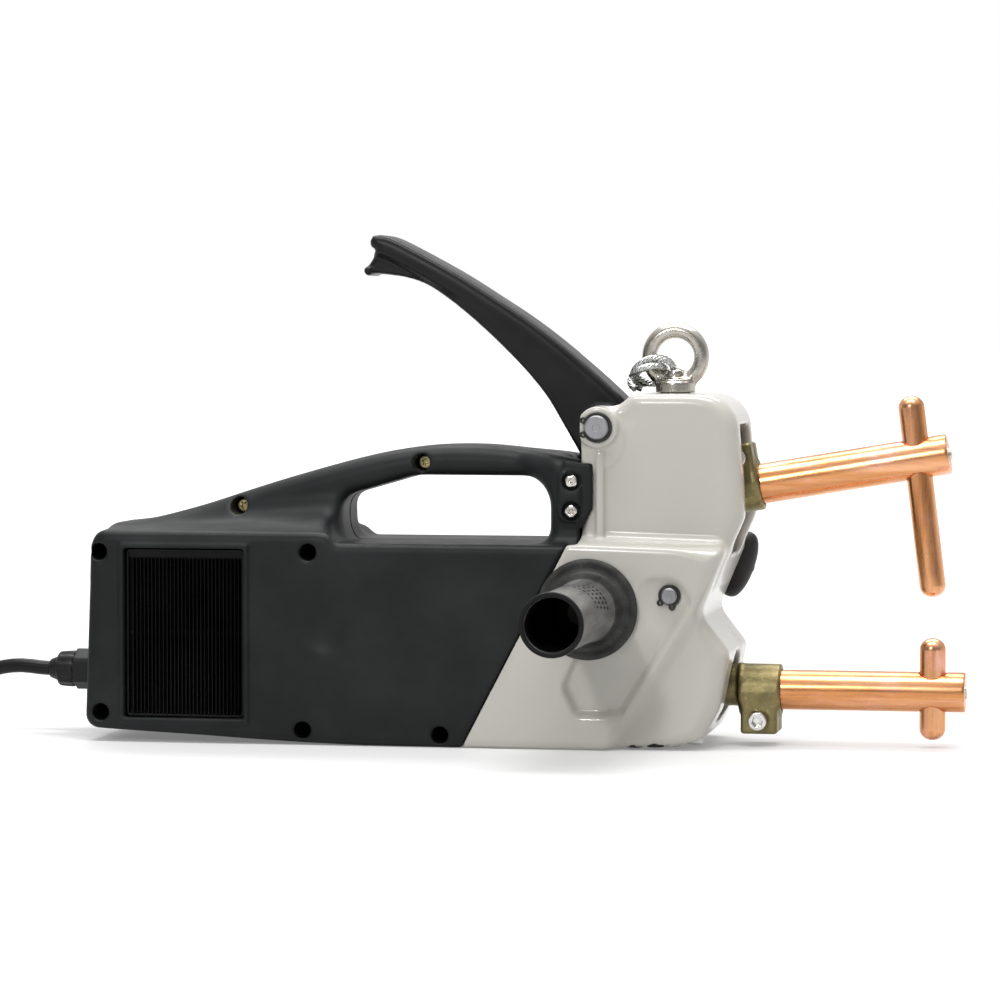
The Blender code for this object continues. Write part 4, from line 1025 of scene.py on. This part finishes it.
def upper_holder_field(x, y, z):
    web = slab(outline_field(x, z, HOLDER_WEB), np.abs(y) - 10.5, 1.5)
    hub = cross_rod(x, y, z, ROCKER_AXIS, -35.5, 35.5, 10.5, 0.8)
    whole = join(join(web, hub, 2), block(x, y, z, (66, -6, 96), (88, 6, 103.3), 0.8), 1.5)
    along = (x - ARM_POINT.x) * math.cos(ARM_TILT) + (z - ARM_POINT.z) * math.sin(ARM_TILT)
    above = (z - ARM_POINT.z) * math.cos(ARM_TILT) - (x - ARM_POINT.x) * math.sin(ARM_TILT)
    whole = join(whole, clamp_field(along, y, above, -16, 1, 1), 2.0)
    whole = carve(whole, np.maximum(np.hypot(y, above) - 10.2, -13.5 - along), 0.4)
    clevis = np.maximum(np.maximum(np.abs(y) - 3.6, x - 101), 127 - z)
    whole = carve(whole, clevis, 0.8)
    whole = carve(whole, off(x, z, ROCKER_AXIS) - 6, 0.3)
    return carve(whole, off(x, z, middle("link_pin")) - 3.3, 0.3)


def arm_piece(name, node, length, at, tilt, matrix, material):
    """A round bar along local X with a bevelled end, a cross hole for its electrode and a screw bore."""

    def field(x, y, z):
        bar = rod(x, y, z, (0, 0, 0), (length, 0, 0), 10.0, 0.7)
        lean_x = (x - at) * math.cos(tilt) - z * math.sin(tilt)
        bar = carve(bar, np.hypot(lean_x, y) - 6.7, 0.5)
        return carve(bar, np.maximum(np.hypot(y, z) - 3.3, at - x), 0.4)

    made = surface(name, (0, -10.2, -10.2), (length, 10.2, 10.2), 0.62, field, material, matrix)
    return piece(made, node, "copper", node)


def electrode_piece(name, node, foot, way, length, material):
    """A bar with a low dome at each end."""
    r = 6.5
    dome = [(r * 0.9 * (1 - math.cos(a)), r * math.sin(a)) for a in np.linspace(0, math.pi / 2, 11)]
    body = [(length * t, r) for t in np.linspace(0.12, 0.88, 14)]
    profile = dome + body + [(length - d, s) for d, s in reversed(dome)]
    made = lathe(name, profile, foot, way, material, 48)
    return piece(made, node, "copper", node)


# Eyebolt, rope, side handle, boot and gland


def eyebolt_field(x, y, z):
    base = HEAD_TOP + GAP
    ring_r, bar_r = 13.1, 3.8
    ring_z = EYE_TOP - ring_r - bar_r
    ring = np.hypot(np.hypot(x - EYE_X, z - ring_z) - ring_r, y) - bar_r
    out = np.hypot(x - EYE_X, y)
    collar = slab(out - 10.0, np.abs(z - base - 2.7) - 2.7, 0.8)
    shoulder = slab(out - 9.0, np.abs(z - base - 5.8) - 1.0, 0.5)
    neck = out - (4.5 + 2.5 * ease((base + 8.5 - z) / 4))
    neck = np.maximum(np.maximum(neck, z - base - 11.0), base - z)
    dome = np.sqrt((x - EYE_X) ** 2 + y ** 2 + ((z - base - 9.2) * 1.5) ** 2) - 4.7
    whole = join(join(collar, shoulder, 0.6), join(neck, dome, 1.0), 1.2)
    stud = slab(out - 4.0, np.abs(z - base + 7.5) - 8.5, 0.6)
    return join(join(whole, ring, 1.6), stud, 0.2)


def rope_points():
    """Two turns of wire rope round the eyebolt's rear limb, both ends down on the head."""
    points = [(71.5, 7.0, 177.4), (67.6, 6.0, 179.0)]
    low_turn, high_turn = (75.5, 8.5, 9.6, 184.5, 3.0, 3.6), (78.7, 9.8, 6.4, 186.5, 1.0, 6.4)
    for i in range(2 * 14 + 1):
        angle = math.pi * (1 + i / 7)
        part = float(ease((i - 9) / 10))
        centre, across, deep, height, tilt, arch = (a + (b - a) * part for a, b in zip(low_turn, high_turn))
        points.append((centre + across * math.cos(angle), deep * math.sin(angle),
                       height + tilt * math.cos(angle) - arch * math.sin(angle)))
    points += [(67.4, -4.6, 182.4), (68.0, -7.0, 179.6), (70.4, -8.6, 177.4)]
    return smooth(points, 6)


def rope(material):
    """Six strands laid round a core, drawn as one lobed section that turns along the rope."""
    section = []
    for i in range(42):
        angle = 2 * math.pi * i / 42
        radius = 1.42 + 0.42 * abs(math.cos(3 * angle))
        section.append((radius * math.cos(angle), radius * math.sin(angle)))
    made = sweep("wire_rope", rope_points(), section, material, twist=0.42)
    return piece(made, "frame", "steel", "wire_rope_tether")


def side_handle(material, dark, flange):
    """A rubber sleeve with a dished flange, rows of small pits and an open end. The bore and the pits get a
    near-black material as painted shade, and the open end's rim gets the same material.
    """
    rows = enumerate((30, 39, 48, 57))
    pits = [(d, 0.20 + 0.17 * i + 0.05 * row) for row, d in rows for i in range(7)]
    pit_length, pit_width, tube = 2.6, 0.75, 15

    def pitted(distance, angle, radius):
        return radius > 14 and 26 < distance < 61 and min(
            math.hypot((distance - d) / pit_length, (angle - a) * tube / pit_width) for d, a in pits) < 1

    def push(distance, angle, radius):
        return -0.3 if pitted(distance, angle, radius) else 0

    profile = [(0.4, 4.4), (0.4, 24.2), (0.8, 24.8), (1.6, 25.0), (2.4, 24.7), (2.9, 24.0), (3.0, 22.8),
               (2.6, 21.4), (2.5, 20.0), (3.0, 18.8), (4.2, 17.8), (6.2, 17.0), (9, 16.4), (13, 15.8),
               (18, 15.4), (24, 15.1)]
    profile += [(d, 15.05) for d in np.arange(26.0, 61.0, 0.8)]
    profile += [(64, 15.0), (80, 14.95), (100, 14.95), (102.2, 15.1), (103.2, 15.5), (105.0, 15.5),
                (106.0, 15.2), (106.3, 14.6), (106.2, 13.8), (105.6, 13.1), (104.0, 12.9), (60, 12.9),
                (18.5, 12.9), (18, 12.4), (18, 4.4), (0.4, 4.4)]
    foot = Vector((GRIP_AXIS.x, -CASE_HALF, GRIP_AXIS.z))
    made = lathe("side_handle_sleeve", profile, foot, (0, -1, 0), material, 220, push)
    made.data.materials.append(dark)
    made.data.materials.append(flange)
    for face in made.data.polygons:
        along = face.center / MM - foot
        out, distance, angle = math.hypot(along.x, along.z), -along.y, math.atan2(along.z, along.x)
        # Faces in the bore and in the pits take the dark material as painted shade; faces past 105.2 mm,
        # the rim, take it too.
        bore = out < 13.0 and 17 < distance < 102
        if bore or pitted(distance, angle, out) or distance > 105.2:
            face.material_index = 1
        elif distance < 13:
            face.material_index = 2
    return piece(made, "frame", "rubber", "side_handle")


def boot(material):
    """The far terminal's soft cap: an egg with a moulding seam."""
    profile = [(0, 0)]
    for i in range(1, 28):
        a = math.pi * i / 28
        seam = 0.35 if abs(i - 14) < 1 else 0.0
        profile.append((17.5 - 17.5 * math.cos(a), 8.0 * math.sin(a) ** 0.75 + seam))
    profile.append((35, 0))
    made = lathe("terminal_boot", profile, (109.3, 50.9, 70.5), (0.36, 0, 1), material, 48)
    return piece(made, "frame", "rubber", "shunt_boot")


def gland_field(x, y, z):
    zc = GLAND_Z
    out = np.hypot(y, z - zc)
    six = np.maximum(np.abs(z - zc) * 0.866 + np.abs(y) * 0.5, np.abs(y)) - 9.6
    nut = slab(np.maximum(six, out - 10.5), np.abs(x + 217) - 4.8, 0.5)
    dome = out - (9.2 - 0.35 * ease((-x - 224) / 6))
    dome = slab(dome, np.abs(x + 226.5) - 4.6, 1.2)
    facets = 0.25 * np.cos(12 * np.arctan2(z - zc, y))
    dome = dome + facets * (x > -230)
    sleeve = out - (7.4 - 2.7 * np.clip((-x - 229) / 7, 0, 1))
    sleeve = slab(sleeve, np.abs(x + 231) - 5.0, 0.4)
    inner = slab(out - 4.9, np.abs(x + 206.5) - 6.5, 0.2)
    whole = join(join(join(nut, dome, 0.5), sleeve, 0.6), inner, 0.2)
    return carve(whole, np.maximum(out - 3.2, -222 - x), 0.2)


# Floor and light


def stage():
    """A white floor that glows, more strongly far away, and a soft studio round it. The glow is painted
    light: it whitens the floor beyond what the lamps give and lights the tool from below.
    """
    reach = 30
    mesh = bpy.data.meshes.new("floor")
    mesh.from_pydata([(a * reach, b * reach, 0) for a, b in ((-1, -1), (1, -1), (1, 1), (-1, 1))], [],
                     [(0, 1, 2, 3)])
    paint = Shader("floor_paint_and_glow", (0.56, 0.56, 0.56), 0.6)
    place = paint.node("ShaderNodeSeparateXYZ")
    # The floor's emission, rising with Y, is painted light: the floor glows like a lamp.
    glow = paint.node("ShaderNodeMapRange", From_Min=-0.2, From_Max=2.2, To_Min=0.14, To_Max=0.72)
    paint.link(paint.node("ShaderNodeTexCoord").outputs["Object"], place.inputs[0])
    paint.link(place.outputs["Y"], glow.inputs["Value"])
    paint.link(glow.outputs["Result"], paint.main.inputs["Emission Strength"])
    paint.main.inputs["Emission Color"].default_value = (1, 1, 1, 1)
    mesh.materials.append(paint.material)
    add("floor", mesh)
    studio()


# Grey of the studio from straight below (0) to straight above (1), on the camera's side and behind.
STUDIO_FRONT = ((0.0, 0.28), (0.45, 0.28), (0.72, 0.9), (1.0, 1.1))
STUDIO_BACK = ((0.0, 1.0), (0.12, 1.0), (0.30, 0.75), (0.60, 0.80), (1.0, 1.1))


def studio():
    world = bpy.data.worlds.new("studio")
    world.use_nodes = True
    tree = world.node_tree
    link = tree.links.new
    split = add_node(tree, "ShaderNodeSeparateXYZ")
    link(add_node(tree, "ShaderNodeTexCoord").outputs["Generated"], split.inputs[0])
    turn = add_node(tree, "ShaderNodeMapRange", From_Min=-0.4, From_Max=0.4)
    link(split.outputs["Y"], turn.inputs["Value"])
    blend = add_node(tree, "ShaderNodeMix", data_type="RGBA")
    link(turn.outputs["Result"], blend.inputs[0])
    for stops, socket in ((STUDIO_FRONT, 6), (STUDIO_BACK, 7)):
        fade = add_node(tree, "ShaderNodeValToRGB")
        for index, (place, grey) in enumerate(stops):
            elements = fade.color_ramp.elements
            stop = elements[index] if index < 2 else elements.new(place)
            stop.position, stop.color = place, (grey, grey, grey, 1)
        link(split.outputs["Z"], fade.inputs["Fac"])
        link(fade.outputs["Color"], blend.inputs[socket])
    link(blend.outputs[2], tree.nodes["Background"].inputs["Color"])
    tree.nodes["Background"].inputs["Strength"].default_value = 1.0
    bpy.context.scene.world = world
    bpy.context.scene.view_settings.view_transform = "Standard"


LAMP_TARGET = Vector((0, 0, 0.1))


def lamp(name, place, size, power):
    """A rectangular lamp that faces the tool, with its place and size in metres."""
    data = bpy.data.lights.new(name, "AREA")
    data.shape = "RECTANGLE"
    data.size, data.size_y = size
    data.energy = power
    made = add(name, data)
    made.location = place
    made.rotation_mode = "QUATERNION"
    made.rotation_quaternion = (LAMP_TARGET - Vector(place)).to_track_quat("-Z", "Y")


def fasteners(bright, blackened):
    """Pins, retaining rings and screws."""
    grained = steel("ground_steel", (0.28, 0.28, 0.29), 0.45, (0.21, 0.205, 0.21), 0.8)
    zinc = steel("yellow_zinc_plate", (0.42, 0.36, 0.18), 0.34, (0.36, 0.28, 0.12))
    pivots = (("lever", 6.0, 180, 38.2), ("rocker", 4.0, 250, 47.6))
    for name, radius, *_ in pivots:
        pin_piece(f"{name}_pivot_pin", f"{name}_pin", radius, grained)
    for name, radius, lug_angle, seat in pivots:
        for end in ("near", "far"):
            ring_piece(f"{name}_ring_{end}", f"{name}_circlip_{end}", radius, lug_angle, blackened, seat)
    groups = (
        ("shell_screw", "casing_screw", CASE_SCREWS, -15.0, "black_steel", blackened,
         (3.7, 2.6, 1.9, 36, "cross"), (0.4, 0.8, 1.2, 1.6, 2.0)),
        ("spine_screw", "grip_screw", GRIP_SCREWS, -9.0, "yellow_zinc", zinc,
         (3.5, 2.2, 1.9, 18, "cross"), (0.85, 1.2)),
        ("tab_screw", "tab_bolt", TAB_BOLTS, -38.2, "steel", bright,
         (3.9, 2.8, 2.4, 68, "star"), (0.15, 0.80)),
    )
    for name, node, places, top, slot, finish, size, turns in groups:
        for number, (at, turn) in enumerate(zip(places, turns), 1):
            screw(f"{name}_{number}", f"{node}_{number}", "frame", slot, finish, (at.x, top, at.z),
                  (0, 1, 0), size, turn)
    for number in range(1, 5):
        node = f"bottom_screw_{number}"
        slot, finish = ("black_steel", blackened) if number < 3 else ("steel", bright)
        at = middle(node)
        screw(f"base_screw_{number}", node, "frame", slot, finish, (at.x, at.y, box(node)[0].z), (0, 0, 1),
              (4.3, 3.4, 2.4, 12, "hex"), 0.3 * number)


def arms(bright):
    """The two clamps with their bolts, the arms in them and the electrodes."""
    brass = cast_brass()
    piece(surface("upper_clamp", (64, -36.5, 65), (141, 36.5, 154), 0.8, upper_holder_field, brass),
          "rocker", "brass", "upper_arm_holder")
    piece(surface("lower_clamp", (65, -15, 4), (147, 15, 43), 0.62, lower_holder_field, brass),
          "frame", "brass", "lower_arm_holder")
    upper_map = plane_map(ARM_POINT, ARM_TILT)
    lower_map = plane_map(LOWER_ARM_POINT, 0)
    for which, body, matrix, x, z in (("upper", "rocker", upper_map, -7.5, 14.6),
                                      ("lower", "frame", lower_map, 0.95, -14.6)):
        screw(f"{which}_clamp_bolt", f"{which}_clamp_screw", body, "steel", bright,
              matrix @ Vector((x, -17.6, z)), (0, 1, 0), (4.5, 5.4, 2.5, 29, "hex"), 0.2)
    lean = Vector((-math.sin(ELECTRODE_LEAN), 0, math.cos(ELECTRODE_LEAN)))
    way = Vector((math.cos(ARM_TILT), 0, math.sin(ARM_TILT)))
    normal = Vector((-way.z, 0, way.x))
    climb = (ARM_POINT - UPPER_TIP_FOOT).dot(normal) / lean.dot(normal)
    upper_at = (UPPER_TIP_FOOT + lean * climb - ARM_POINT).dot(way) + UPPER_INSET
    lower_at = LOWER_TIP_FOOT.x - LOWER_ARM_POINT.x + LOWER_INSET
    arm_piece("upper_arm_bar", "upper_arm", 108.2, upper_at, ARM_TILT - ELECTRODE_LEAN,
              upper_map @ Matrix.Translation((-UPPER_INSET, 0, 0)),
              copper("upper_copper", ARM_TILT, (14, 1, 1)))
    arm_piece("lower_arm_bar", "lower_arm", 109.1, lower_at, 0.0,
              lower_map @ Matrix.Translation((-LOWER_INSET, 0, 0)), copper("lower_copper", 0.0, (14, 1, 1)))
    tip_copper = copper("electrode_copper", ELECTRODE_LEAN, (1, 1, 12))
    electrode_piece("upper_tip", "upper_electrode", UPPER_TIP_FOOT, lean, 100.4, tip_copper)
    electrode_piece("lower_tip", "lower_electrode", LOWER_TIP_FOOT, (0, 0, 1), 50.8, tip_copper)


def main():
    camera()
    satin = moulded("satin_black", (0.006, 0.006, 0.007), 0.38)
    bright = steel("bright_steel", (0.72, 0.71, 0.70), 0.22)
    supply_lead(moulded("cord_black", (0.004, 0.004, 0.005), 0.30, 0.9, 0.01), satin, bright)
    stage()
    lamp("key", (-0.37, -2.25, 1.02), (0.16, 0.16), 15)
    lamp("top", (0.0, -0.35, 1.70), (1.4, 0.5), 22)
    lamp("back", (0.0, 0.75, 1.40), (1.5, 0.5), 15)

    casing(moulded("casing_plastic", (0.0065, 0.0072, 0.0076), 0.46))
    louvre = moulded("louvre_black", (0.0012, 0.0012, 0.0012), 0.22, 2.0, 0.01, 0.14)
    grille("vent_insert_near", -1, "vent_grille_near", louvre)
    grille("vent_insert_far", 1, "vent_grille_far", louvre)
    head(enamel())
    lever(moulded("lever_black", (0.004, 0.004, 0.0043), 0.34, 0.5, 0.02, 0.2))
    blackened = steel("blackened_steel", (0.035, 0.035, 0.035), 0.38, (0.08, 0.07, 0.06), 1.0)
    fasteners(bright, blackened)
    arms(bright)

    polished = steel("polished_steel", (0.48, 0.46, 0.42), 0.22, (0.38, 0.31, 0.22), 1.5)
    piece(surface("lifting_eye", (72, -11, 158), (108, 11, 211), 0.5, eyebolt_field, polished),
          "frame", "steel", "eyebolt")
    rope(steel("rope_steel", (0.60, 0.62, 0.62), 0.24, (0.36, 0.36, 0.33), 0.6))
    side_handle(soft_rubber("handle_rubber", (0.040, 0.040, 0.038), (0.17, 0.169, 0.160)),
                moulded("pit_bore_shade_and_rim_black", (0.0015, 0.0015, 0.0015), 0.6),
                soft_rubber("flange_rubber", (0.010, 0.010, 0.0098), (0.045, 0.045, 0.042)))
    boot(soft_rubber("boot_rubber", (0.008, 0.008, 0.008), (0.02, 0.02, 0.02)))
    piece(surface("lead_gland", (-237, -12, 20), (-199, 12, 44), 0.5, gland_field, satin),
          "frame", "gloss_black", "cable_gland")
    spring(bright)
    inner_pieces(bright, blackened, satin)


SPRING_TURNS = 6
WIRE_R = 0.9


def spring(material):
    """The return spring, a helix of wire in the CAD node's box, fixed to the frame."""
    low, high = box("return_spring")
    at = middle("return_spring")
    inset = WIRE_R + 0.05
    radius = (high.x - low.x) / 2 - inset
    path = []
    for i in range(181):
        turn = i / 180
        rise = turn + 0.06 * math.sin(4 * math.pi * turn) / math.pi
        angle = 2 * math.pi * SPRING_TURNS * turn
        path.append((at.x + radius * math.cos(angle), radius * math.sin(angle),
                     low.z + inset + (high.z - low.z - 2 * inset) * rise))
    section = [(WIRE_R * math.cos(math.pi * k / 7), WIRE_R * math.sin(math.pi * k / 7)) for k in range(14)]
    made = piece(sweep("closing_spring", path, section, material), "frame", "steel", "return_spring")
    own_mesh(made)


def inner_pieces(bright, blackened, satin):
    """CAD nodes whose shapes stay: they get these materials."""
    fibre = plain_texture("fibre_board", (0.06, 0.045, 0.035), (0.10, 0.07, 0.05), 0.6, 3)
    inner_copper = copper("strip_copper", 0.0, (6, 1, 1))
    finishes = {
        "crank_pin": bright, "link_pin": bright, "toggle_link": bright,
        "side_handle_stud": blackened, "upper_arm_set_screw": bright, "lower_arm_set_screw": bright,
        "rocker_bush": fibre, "lower_insulating_collar": fibre, "switch_plunger": fibre,
        "trigger_switch": satin, "secondary_turn": inner_copper, "lower_busbar": inner_copper,
        "flexible_shunt": inner_copper, "transformer_core": laminated(),
        "primary_coil": plain_texture("varnished_wire", (0.40, 0.17, 0.06), (0.22, 0.08, 0.03), 0.35, 1.2),
        "timer_board": plain_texture("board_green", (0.02, 0.13, 0.05), (0.03, 0.20, 0.08), 0.35, 5),
        "thyristor_block": plain_texture("heat_sink", (0.35, 0.35, 0.36), (0.25, 0.25, 0.26), 0.4, 2, 0.9),
    }
    for node, finish in finishes.items():
        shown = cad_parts[node]
        shown.data.materials.clear()
        shown.data.materials.append(finish)


main()
